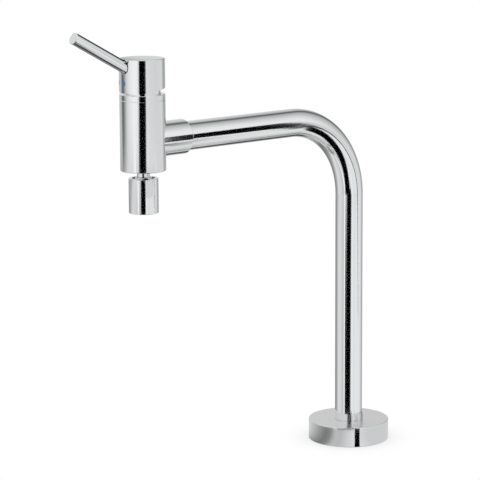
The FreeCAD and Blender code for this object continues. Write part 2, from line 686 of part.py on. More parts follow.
def round_mouth(body):
    """A fillet where the collar's socket breaks through the outside of the mixer body."""
    base = body.Tip
    outside, socket = number("body_radius"), number("collar_radius + running_gap")
    picks = []
    for index, edge in enumerate(base.Shape.Edges, start=1):
        points = edge.discretize(5)
        on_outside = all(abs(math.hypot(point.x, point.y) - outside) < 0.02 for point in points)
        on_socket = all(abs(math.hypot(point.x, point.z) - socket) < 0.02 for point in points)
        if on_outside and on_socket:
            picks.append(f"Edge{index}")
    if len(picks) != 1:
        raise ValueError(f"{body.Label}: its socket's mouth has {len(picks)} edges")
    feature = body.newObject("PartDesign::Fillet", "socket_mouth")
    feature.Base = (base, picks)
    bind(feature, "Radius", "socket_rounding")
    doc.recompute()


def mixer_body():
    """The turned brass body: cartridge chamber on top, arm socket behind, outlet thread below."""
    body = new_piece("mixer_body", HEAD)
    turn_outline(body, [
        ("0", "-body_drop"),
        ("body_radius", "-body_drop"),
        ("body_radius", "body_rise"),
        ("nut_radius + running_gap", "body_rise"),
        ("nut_radius + running_gap", "shell_rise"),
        ("cartridge_radius + seat_gap", "shell_rise"),
        ("cartridge_radius + seat_gap", "cartridge_floor"),
        ("0", "cartridge_floor"),
    ])
    round_edges(body, "Fillet", "lower_edge", "body_rounding", [("body_radius", "-body_drop")])
    round_edges(body, "Chamfer", "upper_edge", "ring_bevel", [("body_radius", "body_rise")])
    drill(body, "collar_socket", spot(y="collar_seat", turn=ALONG_Y),
          "2 * (collar_radius + running_gap)", "body_radius")
    round_mouth(body)
    drill(body, "tube_socket", spot(y="tube_seat", turn=ALONG_Y),
          "2 * (tube_radius + running_gap)", "body_radius")
    for name, side in SIDES.items():
        offset = f"{side} * hose_side"
        drill(body, name + "_port", spot(x=offset, y="tube_seat - port_depth", turn=ALONG_Y), "port_thread",
              "port_depth + 1")
        drill(body, name + "_way", spot(x=offset, y="-way_front"), "way_diameter", "cartridge_floor + 1")
    drill(body, "outlet_thread", spot(z="-body_drop - 1"), "stud_thread + 2 * running_gap",
          "stud_reach + 3")
    drill(body, "seal_recess", spot(z="-body_drop - 1"), "stud_thread + 3 * o_ring_section",
          "o_ring_section + 1.1")
    drill(body, "mixed_way", spot(y="outlet_back", z="stud_reach - body_drop"), "way_diameter",
          "body_drop - stud_reach + cartridge_floor + 1")


def cartridge_ports():
    """Names and places of the three ports of the cartridge's foot."""
    ports = {name: (f"{side} * hose_side", "-way_front") for name, side in SIDES.items()}
    ports["mixed"] = ("0", "outlet_back")
    return ports


def cartridge_foot():
    """Base, port seals and fixed disc of the cartridge."""
    base = ring("cartridge_base", HEAD, "0", "cartridge_radius", "cartridge_floor", "base_rise")
    disc = ring("fixed_disc", HEAD, "0", "disc_radius", "base_rise", "fixed_disc_rise")
    for name, (x, y) in cartridge_ports().items():
        drill(base, name + "_port_of_base", spot(x=x, y=y, z="cartridge_floor - 1"), "way_diameter",
              "base_thickness + 2")
        drill(base, name + "_seal_pocket", spot(x=x, y=y, z="cartridge_floor - 1"),
              "way_diameter + 2 * seal_width + seat_gap", "seal_thickness + 1")
        drill(disc, name + "_port_of_disc", spot(x=x, y=y, z="base_rise - 1"), "way_diameter",
              "disc_thickness + 2")
        seal = new_piece(name + "_port_seal", spot(x=x, y=f"{y} - reach", z="arm_height"))
        turn_outline(seal, [
            ("way_diameter / 2 + seat_gap", "cartridge_floor"),
            ("way_diameter / 2 + seal_width", "cartridge_floor"),
            ("way_diameter / 2 + seal_width", "cartridge_floor + seal_thickness"),
            ("way_diameter / 2 + seat_gap", "cartridge_floor + seal_thickness"),
        ])


def cartridge_shell():
    body = new_piece("cartridge_shell", HEAD)
    turn_outline(body, [
        ("cartridge_bore", "base_rise"),
        ("cartridge_radius", "base_rise"),
        ("cartridge_radius", "shell_rise"),
        ("spindle_neck / 2 + free_gap", "shell_rise"),
        ("spindle_neck / 2 + free_gap", "shell_lip"),
        ("cartridge_bore", "shell_lip"),
    ])


def sliding_discs():
    """The moving disc with its mixing pocket, and the carrier that the stem's ball end pushes."""
    disc = ring("moving_disc", HEAD, "0", "moving_radius", "moving_disc_foot", "carrier_foot")
    drill(disc, "mixing_pocket", spot(z="moving_disc_foot - 1"), "mixing_diameter",
          "disc_thickness / 2 + 1")
    carrier = ring("disc_carrier", HEAD, "0", "moving_radius", "carrier_foot", "carrier_rise")
    half = "(finger_diameter / 2 + free_gap)"
    mill(carrier, "ball_pocket", (f"-{half}", f"-{half}", f"carrier_rise - finger_sink - {half}"),
         (half, half, "carrier_rise + 1"))


def spindle():
    """The turning part of the cartridge, slotted for the stem and cross drilled for its pin."""
    body = new_piece("spindle", HEAD)
    turn_outline(body, [
        ("0", "spindle_foot"),
        ("cartridge_bore - free_gap", "spindle_foot"),
        ("cartridge_bore - free_gap", "spindle_shoulder"),
        ("spindle_neck / 2", "spindle_shoulder"),
        ("spindle_neck / 2", "pivot_rise + spindle_rise"),
        ("0", "pivot_rise + spindle_rise"),
    ])
    room = "(stem_width / 2 + free_gap)"
    swing = "tan(lift_angle)"
    front = f"-{room} / cos(lift_angle) - (stem_arm - finger_diameter) * {swing}"
    back = f"{room} / cos(lift_angle) + spindle_rise * {swing} + free_gap"
    mill(body, "stem_slot", (f"-{room}", front, "spindle_foot - 1"),
         (room, back, "pivot_rise + spindle_rise + 1"))
    drill(body, "pin_hole", spot(x="-spindle_neck / 2", z="pivot_rise", about="0; 1; 0", turn="90"),
          "pin_diameter + 2 * running_gap", "spindle_neck")
    pin = new_piece("stem_pin", spot(x="1 - spindle_neck / 2", y="-reach", z="arm_height + pivot_rise",
                                     about="0; 1; 0", turn="90"))
    turn_outline(pin, [("0", "0"), ("pin_diameter / 2", "0"), ("pin_diameter / 2", "spindle_neck - 2"),
                       ("0", "spindle_neck - 2")])


def lever_stem():
    """The stem: square through the pivot and up into the cap, with a ball end below."""
    body = new_piece("lever_stem", PIVOT)
    half = "stem_width / 2"
    waist = "stem_arm - finger_diameter"
    primitive(body, "AdditiveBox", "square", spot(x=f"-{half}", y=f"-{half}", z=f"-({waist})"),
              Length="stem_width", Width="stem_width",
              Height=f"{waist} + cap_ceiling + socket_depth - pivot_rise - seat_gap")
    primitive(body, "AdditiveCylinder", "waist", spot(z="-stem_arm"), Radius="waist_diameter / 2",
              Height="finger_diameter + 1")
    primitive(body, "AdditiveSphere", "ball_end", spot(z="-stem_arm"), Radius="finger_diameter / 2")
    drill(body, "pivot_hole", spot(x="-stem_width", about="0; 1; 0", turn="90"),
          "pin_diameter + 2 * running_gap", "2 * stem_width")


def top_rings():
    """Nut, trim ring and throat above the cartridge."""
    ring("cartridge_nut", HEAD, "nut_bore / 2", "nut_radius", "shell_rise", "body_rise")
    trim = ring("trim_ring", HEAD, "throat_radius + seat_gap", "body_radius", "body_rise", "ring_rise")
    round_edges(trim, "Chamfer", "ring_edges", "ring_bevel", [
        ("body_radius", "ring_rise"), ("body_radius", "body_rise")])
    throat = new_piece("throat", HEAD)
    turn_outline(throat, [
        ("throat_radius - throat_wall", "body_rise"),
        ("throat_radius", "body_rise"),
        ("throat_radius", "throat_rise"),
        ("throat_hole / 2", "throat_rise"),
        ("throat_hole / 2", "throat_rise - throat_wall"),
        ("throat_radius - throat_wall", "throat_rise - throat_wall"),
    ])
    round_edges(throat, "Fillet", "shoulder", "throat_rounding", [("throat_radius", "throat_rise")])


def handle_cap():
    """The cap that carries the lever: hollow over the throat, solid above, cut away at the rear."""
    body = new_piece("handle_cap", HEAD)
    turn_outline(body, [
        ("0", "cap_ceiling"),
        ("cap_inside", "cap_ceiling"),
        ("cap_inside", "cap_foot"),
        ("body_radius", "cap_foot"),
        ("body_radius", "cap_rise"),
        ("0", "cap_rise"),
    ])
    round_edges(body, "Fillet", "upper_edge", "cap_rounding", [("body_radius", "cap_rise")])
    cut_start = spot(y="-cut_front", z="cap_foot", turn="cut_slope")
    mill(body, "rear_cut", ("-body_diameter", "0", "-cap_height"),
         ("body_diameter", "3 * body_radius", "0"), cut_start)
    half = "(stem_width / 2 + running_gap)"
    mill(body, "stem_socket", (f"-{half}", f"-{half}", "cap_ceiling - 1"),
         (half, half, "cap_ceiling + socket_depth"))
    rod = "90 - lever_slope"
    axis = spot(z="lever_rise", turn=rod)
    shift = "placement(vector(0; 0; {}); rotation(vector(1; 0; 0); 0))"
    drill(body, "rod_seat_hole", f"{axis} * {shift.format('rod_seat')}", "rod_pocket", "body_radius")
    drill(body, "spigot_hole", f"{axis} * {shift.format('rod_seat - spigot_length')}",
          "spigot_diameter + 2 * running_gap", "body_radius")
    drill(body, "cap_screw_hole", spot(z="cap_screw_height", turn=ALONG_Y),
          "screw_diameter + 2 * running_gap", "body_radius + 1")
    for name in ("cold", "hot"):
        drill(body, name + "_recess", mark_spot(name, "body_radius - mark_depth"), "mark_diameter",
              "body_radius")


def mark_spot(name, distance, y="0", z="0"):
    """Where a mark's axis leaves the cap, at a distance from the cap's own axis."""
    about = f"placement(vector(0; {y}; {z}); rotation(vector(0; 0; 1); -{name}_angle))"
    out = f"placement(vector(0; -({distance}); mark_height); rotation(vector(1; 0; 0); 90))"
    return f"{about} * {out}"


def marks():
    """The coloured marks: round plugs whose faces follow the cap's cylinder."""
    for name in ("cold", "hot"):
        plug = doc.addObject("Part::Cylinder", name + "_plug")
        bind(plug, "Radius", "mark_diameter / 2 - running_gap")
        bind(plug, "Height", "body_radius")
        bind(plug, "Placement", mark_spot(name, "body_radius - mark_depth", "-reach", "arm_height"))
        round_bar = doc.addObject("Part::Cylinder", name + "_bar")
        bind(round_bar, "Radius", "body_radius")
        bind(round_bar, "Height", "cap_rise")
        bind(round_bar, "Placement", HEAD)
        mark = doc.addObject("Part::Common", name + "_mark")
        mark.Label = name + "_mark"
        mark.Base = plug
        mark.Tool = round_bar
        NODES.append(mark)
    doc.recompute()


def lever_rod():
    """The lever: a straight rod with a flat tip and a threaded spigot in the cap."""
    body = new_piece("lever_rod", spot(y="-reach", z="arm_height + lever_rise", turn="90 - lever_slope"))
    turn_outline(body, [
        ("0", "rod_seat - spigot_length + free_gap"),
        ("spigot_diameter / 2", "rod_seat - spigot_length + free_gap"),
        ("spigot_diameter / 2", "rod_seat"),
        ("lever_diameter / 2", "rod_seat"),
        ("lever_diameter / 2", "lever_reach"),
        ("0", "lever_reach"),
    ])
    round_edges(body, "Fillet", "tip_edge", "lever_rounding", [("lever_diameter / 2", "lever_reach")])
    screw = new_piece("cap_screw", spot(y="-reach", z="arm_height + cap_screw_height", turn=ALONG_Y))
    turn_outline(screw, [
        ("0", "stem_width / 2"),
        ("screw_diameter / 2", "stem_width / 2"),
        ("screw_diameter / 2", "stem_width / 2 + screw_length"),
        ("0", "stem_width / 2 + screw_length"),
    ])
    key_socket(screw, "stem_width / 2 + screw_length", "screw_diameter")


def ball_stud():
    """The hollow stud under the body: thread, neck and ball."""
    body = new_piece("ball_stud", BALL)
    turn_outline(body, [
        ("stud_bore / 2", "ball_drop + stud_reach"),
        ("stud_thread / 2", "ball_drop + stud_reach"),
        ("stud_thread / 2", "ball_drop"),
        ("neck_diameter / 2", "ball_drop"),
        (ON_ARC, "sqrt(pow(ball_radius; 2) - pow(neck_diameter / 2; 2))"),
        (ON_ARC, "-sqrt(pow(ball_radius; 2) - pow(stud_bore / 2; 2))"),
    ], arcs={4: "ball_radius"})
    round_seal("stud_o_ring", BALL, "stud_thread / 2 + o_ring_section / 2 + seat_gap",
               "ball_drop + o_ring_section / 2")


def ball_joint():
    """Liner, seat and seal round the ball."""
    liner = new_piece("ball_liner", BALL)
    turn_outline(liner, [
        (ON_ARC, "-liner_bottom"),
        (ON_ARC, "-liner_bottom"),
        (ON_ARC, "liner_top"),
        (ON_ARC, "liner_top"),
    ], arcs={1: "liner_outer", 3: "liner_inner"})
    seat = new_piece("ball_seat", BALL)
    turn_outline(seat, [
        (ON_ARC, "-seat_bottom"),
        ("filling_radius", "-seat_bottom"),
        ("filling_radius", "seat_top"),
        ("aerator_mouth / 2", "seat_top"),
        (ON_ARC, "seat_top - seat_cone"),
    ], arcs={4: "seat_radius"})
    seal = new_piece("ball_seal", BALL)
    turn_outline(seal, [
        ("seal_hole / 2", "seal_foot"),
        ("filling_radius", "seal_foot"),
        ("filling_radius", "-seat_bottom"),
        (ON_ARC, "-seat_bottom"),
        (ON_ARC, "-sqrt(pow(seat_radius; 2) - pow(seal_hole / 2 + seat_gap; 2))"),
        ("seal_hole / 2", "-sqrt(pow(seat_radius; 2) - pow(seal_hole / 2 + seat_gap; 2))"),
    ], arcs={3: "seat_radius"})


def aerator_housing():
    body = new_piece("aerator_housing", BALL)
    turn_outline(body, [
        ("housing_bore", "housing_foot"),
        ("aerator_diameter / 2", "housing_foot"),
        ("aerator_diameter / 2", "aerator_rise"),
        ("aerator_mouth / 2", "aerator_rise"),
        ("aerator_mouth / 2", "seat_top"),
        ("housing_bore", "seat_top"),
    ])
    round_edges(body, "Fillet", "housing_edges", "aerator_rounding", [
        ("aerator_diameter / 2", "aerator_rise"), ("aerator_diameter / 2", "housing_foot")])


def aerator_filling():
    """What the housing holds under the ball joint, down to the outlet."""
    ring("seal_support", BALL, "seal_hole / 2", "filling_radius", "support_foot", "seal_foot")
    ring("aerator_washer", BALL, "aerator_washer_hole / 2", "filling_radius", "washer_foot", "support_foot")
    insert = ring("aerator_insert", BALL, "0", "filling_radius", "insert_foot", "washer_foot")
    drill(insert, "centre_hole", spot(z="insert_foot - 1"), "insert_hole", "insert_height + 2")
    outer = drill(insert, "ring_hole", spot(x="insert_pitch / 2", z="insert_foot - 1"), "insert_hole",
                  "insert_height + 2")
    repeat_round(insert, outer, 8)
    mesh = ring("outlet_mesh", BALL, "0", "filling_radius", "mesh_foot", "insert_foot")
    drill(mesh, "mesh_centre", spot(z="mesh_foot - 1"), "mesh_hole", "mesh_thickness + 2")
    for circle in (1, 2, 3):
        hole = drill(mesh, f"mesh_ring_{circle}", spot(x=f"{circle} * mesh_step", z="mesh_foot - 1"),
                     "mesh_hole", "mesh_thickness + 2")
        repeat_round(mesh, hole, 6 * circle)
    ring("outlet_ring", BALL, "filling_radius - end_ring_width", "filling_radius",
         "end_ring_foot", "mesh_foot")


def check_document():
    """Stops if an object of the document has failed or a sub-part's shape is not sound."""
    for thing in doc.Objects:
        if "Invalid" in thing.State or "Error" in thing.State:
            raise ValueError(f"{thing.Label} has failed: {thing.State}")
    for node in NODES:
        if node.Shape.isNull() or not node.Shape.isValid() or not node.Shape.Solids:
            raise ValueError(f"{node.Label} has no sound shape")


base_flange()
foot_body()
base_seals()
stop_screw()
spout_tube()
tube_fittings()
hoses()
arm_collar()
collar_screw()
mixer_body()
cartridge_foot()
cartridge_shell()
sliding_discs()
spindle()
lever_stem()
top_rings()
handle_cap()
marks()
lever_rod()
ball_stud()
ball_joint()
aerator_housing()
aerator_filling()

doc.recompute()
check_document()
os.makedirs("parts", exist_ok=True)
for node in NODES:
    node.Shape.exportStep(f"parts/{node.Label}.step")
    print(f"{node.Label}: {len(node.Shape.Solids)} solid, {node.Shape.Volume:.0f} mm3")
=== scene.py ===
"""A basin mixer tap in its studio: its turned, bent and woven pieces, its finishes, light and camera."""
import math

import bpy
import numpy as np
from bpy.props import FloatProperty, FloatVectorProperty, PointerProperty
from mathutils import Matrix, Vector


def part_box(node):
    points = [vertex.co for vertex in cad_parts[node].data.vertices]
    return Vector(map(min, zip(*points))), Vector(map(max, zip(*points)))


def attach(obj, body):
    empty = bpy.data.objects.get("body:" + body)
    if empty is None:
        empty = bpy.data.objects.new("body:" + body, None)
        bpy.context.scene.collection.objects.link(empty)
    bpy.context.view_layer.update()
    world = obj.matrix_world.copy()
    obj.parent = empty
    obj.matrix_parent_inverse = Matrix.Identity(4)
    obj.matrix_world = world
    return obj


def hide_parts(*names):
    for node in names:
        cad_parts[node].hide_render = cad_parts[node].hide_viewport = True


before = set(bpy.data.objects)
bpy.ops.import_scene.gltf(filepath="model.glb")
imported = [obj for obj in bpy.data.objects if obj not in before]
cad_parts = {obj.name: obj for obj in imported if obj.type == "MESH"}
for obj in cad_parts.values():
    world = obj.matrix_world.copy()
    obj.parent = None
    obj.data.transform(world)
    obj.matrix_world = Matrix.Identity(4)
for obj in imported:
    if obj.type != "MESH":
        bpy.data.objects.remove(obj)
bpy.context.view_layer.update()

bl_info = {
    "name": "Basin mixer tap",
    "version": (1, 1, 0),
    "blender": (4, 5, 0),
    "location": "3D View > Sidebar > Tap",
    "description": "Dresses a basin mixer tap with a swivelling spout, piece by piece, and sets up a studio",
    "category": "Add Mesh",
}


def length(name, description, millimetres):
    """A length property, stored in metres."""
    return FloatProperty(name=name, description=description, default=millimetres / 1000, min=0.0,
                         precision=5, subtype="DISTANCE", unit="LENGTH")


def angle(name, description, degrees):
    """An angle property, stored in radians."""
    return FloatProperty(name=name, description=description, default=math.radians(degrees),
                         subtype="ANGLE", unit="ROTATION")


def linear(level):
    """Linear value of an sRGB level from 0 to 1."""
    return level / 12.92 if level <= 0.04045 else ((level + 0.055) / 1.055) ** 2.4


def colour(code):
    """Linear colour of an sRGB hex code such as "c8c4bc"."""
    return tuple(linear(int(code[k:k + 2], 16) / 255) for k in (0, 2, 4)) + (1.0,)


def shade(name, description, code):
    """A colour property, from an sRGB hex code."""
    return FloatVectorProperty(name=name, description=description, default=colour(code), size=4, min=0.0,
                               max=1.0, subtype="COLOR")


class TapSizes(bpy.types.PropertyGroup):
    """Sizes of the pieces that are built here. They are those of the construction model."""

    arm_height: length("Arm height", "Height of the arm's axis", 338.0)
    reach: length("Reach", "Distance of the mixer body from the riser's axis", 265.0)
    flange_radius: length("Flange radius", "Radius of the base flange", 41.4)
    flange_height: length("Flange height", "Height of the base flange", 20.5)
    flange_hole: length("Flange hole", "Radius of the hole that the tube turns in", 14.05)
    flange_side: length("Flange side", "Thickness of the flange's side", 2.6)
    flange_top: length("Flange top", "Thickness of the flange's top", 3.0)
    tube_radius: length("Tube radius", "Outer radius of the spout tube", 14.0)
    tube_bore: length("Tube bore", "Inner radius of the spout tube", 12.5)
    tube_foot: length("Tube foot", "Height of the tube's lower end", 2.5)
    bend_radius: length("Bend radius", "Radius of the tube's centre line in the bend", 80.0)
    tube_end: length("Arm end", "Distance of the tube's far end from the riser's axis", 255.0)
    clip_radius: length("Groove radius", "Radius of the groove for the retaining clip", 13.3)
    clip_foot: length("Groove foot", "Lower edge of that groove", 4.2)
    clip_top: length("Groove top", "Upper edge of that groove", 5.5)
    slot_foot: length("Slot foot", "Lower edge of the slot that the stop screw runs in", 5.95)
    slot_top: length("Slot top", "Upper edge of that slot", 9.05)
    slot_half: angle("Half slot", "Half of the angle that the slot goes round the tube", 81.7)
    lever_radius: length("Lever radius", "Radius of the lever rod", 5.6)
    lever_rise: length("Lever height", "Height above the arm at which the lever's axis meets the cap's",
                       60.1)
    lever_slope: angle("Lever slope", "Slope of the lever rod", 28.3)
    rod_seat: length("Rod seat", "Start of the rod from the cap's axis", 19.0)
    lever_reach: length("Lever reach", "End of the rod from the cap's axis", 88.9)
    spigot_radius: length("Spigot radius", "Radius of the rod's spigot", 3.0)
    spigot_length: length("Spigot length", "Length of the rod's spigot", 7.7)
    ball_drop: length("Ball drop", "Ball centre below the arm's axis", 40.5)
    body_drop: length("Body drop", "Mixer body below the arm's axis", 28.0)
    ball_radius: length("Ball radius", "Radius of the stud's ball", 9.2)
    neck_radius: length("Neck radius", "Radius of the stud's neck", 6.2)
    stud_radius: length("Stud radius", "Radius of the stud's threaded end", 6.0)
    stud_reach: length("Stud reach", "Length of the stud inside the mixer body", 7.0)
    stud_bore: length("Stud bore", "Radius of the stud's water way", 4.0)
    housing_radius: length("Aerator radius", "Outer radius of the aerator housing", 14.2)
    housing_rise: length("Aerator top", "Upper edge of the housing above the ball's centre", 5.4)
    housing_foot: length("Aerator foot", "Lower edge of the housing below the ball's centre", 27.9)
    housing_bore: length("Aerator bore", "Inner radius of the housing", 12.5)
    housing_mouth: length("Aerator mouth", "Radius of the housing's mouth", 10.95)
    housing_lip: length("Aerator lip", "Thickness of the lip at the housing's mouth", 1.5)
    wire_radius: length("Wire radius", "Radius of a wire of the outlet mesh", 0.12)
    wire_pitch: length("Wire pitch", "Distance between two wires of the outlet mesh", 0.8)


class TapColours(bpy.types.PropertyGroup):
    """Colours of the finishes that show."""

    chrome: shade("Polished chrome", "Tint of the polished chrome plate", "f4f4f5")
    satin: shade("Satin chrome", "Tint of the brushed chrome plate on the flange", "ececed")
    brass: shade("Brass", "Tint of the bare brass pieces", "d8b25e")
    steel: shade("Steel", "Tint of the stainless steel pieces", "b9bbbd")
    dark_blue: shade("Dark blue", "Darker shade of the cold mark", "4a6f9f")
    light_blue: shade("Light blue", "Lighter shade of the cold mark", "5479a8")
    dark_red: shade("Dark red", "Darker shade of the hot mark", "b8322c")
    light_red: shade("Light red", "Lighter shade of the hot mark", "c43a33")


class StudioSettings(bpy.types.PropertyGroup):
    """Light and camera of the studio."""

    plain_level: FloatProperty(name="Plain light", description="Level of the light on matt surfaces",
                               default=0.95, min=0.0)
    wall_level: FloatProperty(name="Walls", description="Level of the walls that metal mirrors",
                              default=1.1, min=0.0)
    lens: FloatProperty(name="Lens", description="Focal length in millimetres", default=166.6955, min=10.0)


def rounded(corners, closed=False, steps=6, hold=0.00012):
    """Points of an outline whose corners (radius, height, rounding) become arcs, in metres.

    An arc's centre lies on the bisector of its corner. Its points turn in even steps from one tangent point
    to the other. Straight runs get one more point close to each end, which keeps the shading of flat faces
    flat.
    """
    points = []
    count = len(corners)
    for index, (radius, height, rounding) in enumerate(corners):
        here = np.array((radius, height))
        if rounding == 0:
            points.append(here)
            continue
        before = np.array(corners[index - 1][:2]) - here
        after = np.array(corners[(index + 1) % count][:2]) - here
        before /= np.linalg.norm(before)
        after /= np.linalg.norm(after)
        half = math.acos(float(np.clip(before @ after, -1, 1))) / 2
        middle = before + after
        centre = here + middle / np.linalg.norm(middle) * rounding / math.sin(half)
        first = here + before * rounding / math.tan(half) - centre
        last = here + after * rounding / math.tan(half) - centre
        share = np.linspace(0, 1, steps + 1)[:, None]
        turn = math.pi - 2 * half
        arc = (np.sin((1 - share) * turn) * first + np.sin(share * turn) * last) / math.sin(turn)
        points.extend(centre + arc)
    held = []
    total = len(points)
    for index, point in enumerate(points):
        held.append(point)
        if index == total - 1 and not closed:
            break
        following = points[(index + 1) % total]
        run = following - point
        distance = np.linalg.norm(run)
        if distance > 6 * hold:
            held.append(point + run * hold / distance)
            held.append(following - run * hold / distance)
    return np.array(held)


def arc_points(radius, start, end, steps):
    """Outline points on a circle about the axis origin: radius times sine and cosine of the polar angle."""
    polar = np.linspace(start, end, steps)
    return np.column_stack((radius * np.sin(polar), radius * np.cos(polar)))


def turned(outline, turns=192):
    """Grid of a surface of revolution.

    Each outline point (radius, height) goes round the axis in even steps: the radius times the cosine along
    X, the radius times the sine along Y.
    """
    about = np.arange(turns) * 2 * math.pi / turns
    radius, height = outline[:, 0, None], outline[:, 1, None]
    return np.stack((radius * np.cos(about), radius * np.sin(about), height + 0 * about), axis=2)


def placed(grid, origin, axis=(0, 0, 1)):
    """The grid with its own +Z laid along an axis and its origin moved to a point."""
    turn = np.array(Vector((0, 0, 1)).rotation_difference(Vector(axis)).to_matrix())
    return grid @ turn.T + np.array(origin)


def window_walls(rows, columns, window, flipped):
    """The four walls of a window in a shell.

    Each wall joins an edge on the outside to the same edge on the inside.
    """
    start, stop, open_columns = window
    after = (open_columns + 1) % columns
    inside = rows - 1
    along = [np.stack((row * columns + one, row * columns + other, (inside - row) * columns + other,
                       (inside - row) * columns + one), axis=1)
             for row, one, other in ((stop, open_columns, after), (start, after, open_columns))]
    ends = [(near * columns + column, far * columns + column, (inside - far) * columns + column,
             (inside - near) * columns + column)
            for near, far, column in ((start, stop, open_columns[0]), (stop, start, after[-1]))]
    made = np.concatenate((*along, np.array(ends)))
    return made[:, ::-1] if flipped else made


def skin(name, grid, closed=False, sharp=math.radians(28), window=None):
    """A mesh object over a grid of points (rows, columns, 3) whose columns close round.

    Rows on the axis become one pole point. Faces are turned so that the enclosed volume is positive. A
    window, given by its first and last row and its columns, is cut through a shell whose last rows are its
    inside.
    """
    rows, columns = grid.shape[:2]
    points = grid.reshape(-1, 3)
    row = np.arange(rows if closed else rows - 1)[:, None]
    column = np.arange(columns)[None, :]
    below = (row + 1) % rows
    beside = (column + 1) % columns
    quads = np.stack((row * columns + column, row * columns + beside, below * columns + beside,
                      below * columns + column), axis=2).reshape(-1, 4)
    a, b, c, d = (points[quads[:, k]] for k in range(4))
    volume = np.einsum("ij,ij->i", a, np.cross(b, c)).sum() + np.einsum("ij,ij->i", a, np.cross(c, d)).sum()
    if volume < 0:
        quads = quads[:, ::-1]
    if window:
        start, stop, open_columns = window
        cut = np.zeros((len(row), columns), bool)
        cut[start:stop, open_columns] = True
        cut[rows - 1 - stop:rows - 1 - start, open_columns] = True
        quads = np.concatenate((quads[~cut.reshape(-1)], window_walls(rows, columns, window, volume < 0)))
    _, first, same = np.unique(np.round(points, 8), axis=0, return_index=True, return_inverse=True)
    quads = same.reshape(-1)[quads]
    faces = []
    for quad in quads.tolist():
        corners = [v for k, v in enumerate(quad) if v != quad[k - 1]]
        if len(corners) > 2:
            faces.append(corners)
    mesh = bpy.data.meshes.new(name)
    mesh.from_pydata(points[first], [], faces)
    mesh.validate()
    mesh.shade_smooth()
    mesh.set_sharp_from_angle(angle=sharp)
    made = bpy.data.objects.new(name, mesh)
    bpy.context.scene.collection.objects.link(made)
    return made


def fitted(piece, body, slot, *nodes):
    """Gives a piece the finish of its slot, joins it to its body and lets it stand for its nodes."""
    piece.data.materials.append(bpy.data.materials[FINISH_OF_SLOT[slot]])
    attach(piece, body)
    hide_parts(*nodes)
    return piece


def node(tree, kind, inputs=None, **settings):
    """Adds one node with its settings. Inputs are values, sockets or nodes, by input name or number."""
    made = tree.nodes.new(kind)
    for key, value in settings.items():
        setattr(made, key, value)
    for key, value in (inputs or {}).items():
        if isinstance(value, bpy.types.Node):
            value = value.outputs[0]
        if isinstance(value, bpy.types.NodeSocket):
            tree.links.new(value, made.inputs[key])
        else:
            made.inputs[key].default_value = value
    return made


def tones(pairs):
    """Points of a curve whose heights are greys from 0 to 255, as linear levels."""
    return [(place, linear(grey / 255)) for place, grey in pairs]


def new_material(name):
    """An empty node material and its output node."""
    material = bpy.data.materials.new(name)
    material.use_nodes = True
    material.cycles.emission_sampling = "NONE"
    tree = material.node_tree
    tree.nodes.clear()
    return tree, node(tree, "ShaderNodeOutputMaterial")


def metal(name, base, roughness, ripple, rise, smudge=0.0):
    """A metal surface.

    The tint is varied a little by a broad noise. The bump is a ripple of a given width and rise in
    millimetres, left by turning or polishing. The roughness varies with a finer noise, and rises by smudge in
    patches where hands touch it.
    """
    tree, output = new_material(name)
    place = node(tree, "ShaderNodeTexCoord").outputs["Object"]
    cloud = node(tree, "ShaderNodeTexNoise", {"Vector": place, "Scale": 45.0, "Detail": 3.0})
    fine = node(tree, "ShaderNodeTexNoise", {"Vector": place, "Scale": 2500.0, "Detail": 2.0})
    wave = node(tree, "ShaderNodeTexNoise", {"Vector": place, "Scale": 1000 / ripple, "Detail": 1.0})
    tint = node(tree, "ShaderNodeMix", {"Factor": cloud, "A": tuple(0.985 * v for v in base[:3]) + (1.0,),
                                        "B": base}, data_type="RGBA")
    rough = node(tree, "ShaderNodeMapRange", {"Value": fine, "To Min": roughness * 0.8,
                                              "To Max": roughness * 1.2})
    touched = node(tree, "ShaderNodeMapRange", {"Value": cloud, "From Min": 0.52, "From Max": 0.75,
                                                "To Max": smudge})
    both = node(tree, "ShaderNodeMath", {0: rough, 1: touched}, operation="ADD")
    bump = node(tree, "ShaderNodeBump", {"Height": wave, "Strength": 1.0, "Distance": rise / 1000})
    shader = node(tree, "ShaderNodeBsdfPrincipled", {
        "Base Color": tint.outputs["Result"], "Metallic": 1.0, "Roughness": both, "Normal": bump})
    tree.links.new(shader.outputs[0], output.inputs["Surface"])


def moulded(name, dark, light, roughness, grain, rise=0.01):
    """A moulded or fired material.

    Two close shades are mixed by noise. The bump is a grain of a given width and rise in millimetres.
    """
    tree, output = new_material(name)
    place = node(tree, "ShaderNodeTexCoord").outputs["Object"]
    cloud = node(tree, "ShaderNodeTexNoise", {"Vector": place, "Scale": 120.0, "Detail": 4.0})
    fine = node(tree, "ShaderNodeTexNoise", {"Vector": place, "Scale": 1000 / grain, "Detail": 3.0})
    tint = node(tree, "ShaderNodeMix", {"Factor": cloud, "A": dark, "B": light}, data_type="RGBA")
    rough = node(tree, "ShaderNodeMapRange", {"Value": fine, "To Min": roughness * 0.85,
                                              "To Max": roughness * 1.15})
    bump = node(tree, "ShaderNodeBump", {"Height": fine, "Strength": 0.6, "Distance": rise / 1000})
    shader = node(tree, "ShaderNodeBsdfPrincipled", {
        "Base Color": tint.outputs["Result"], "Roughness": rough, "Normal": bump})
    tree.links.new(shader.outputs[0], output.inputs["Surface"])


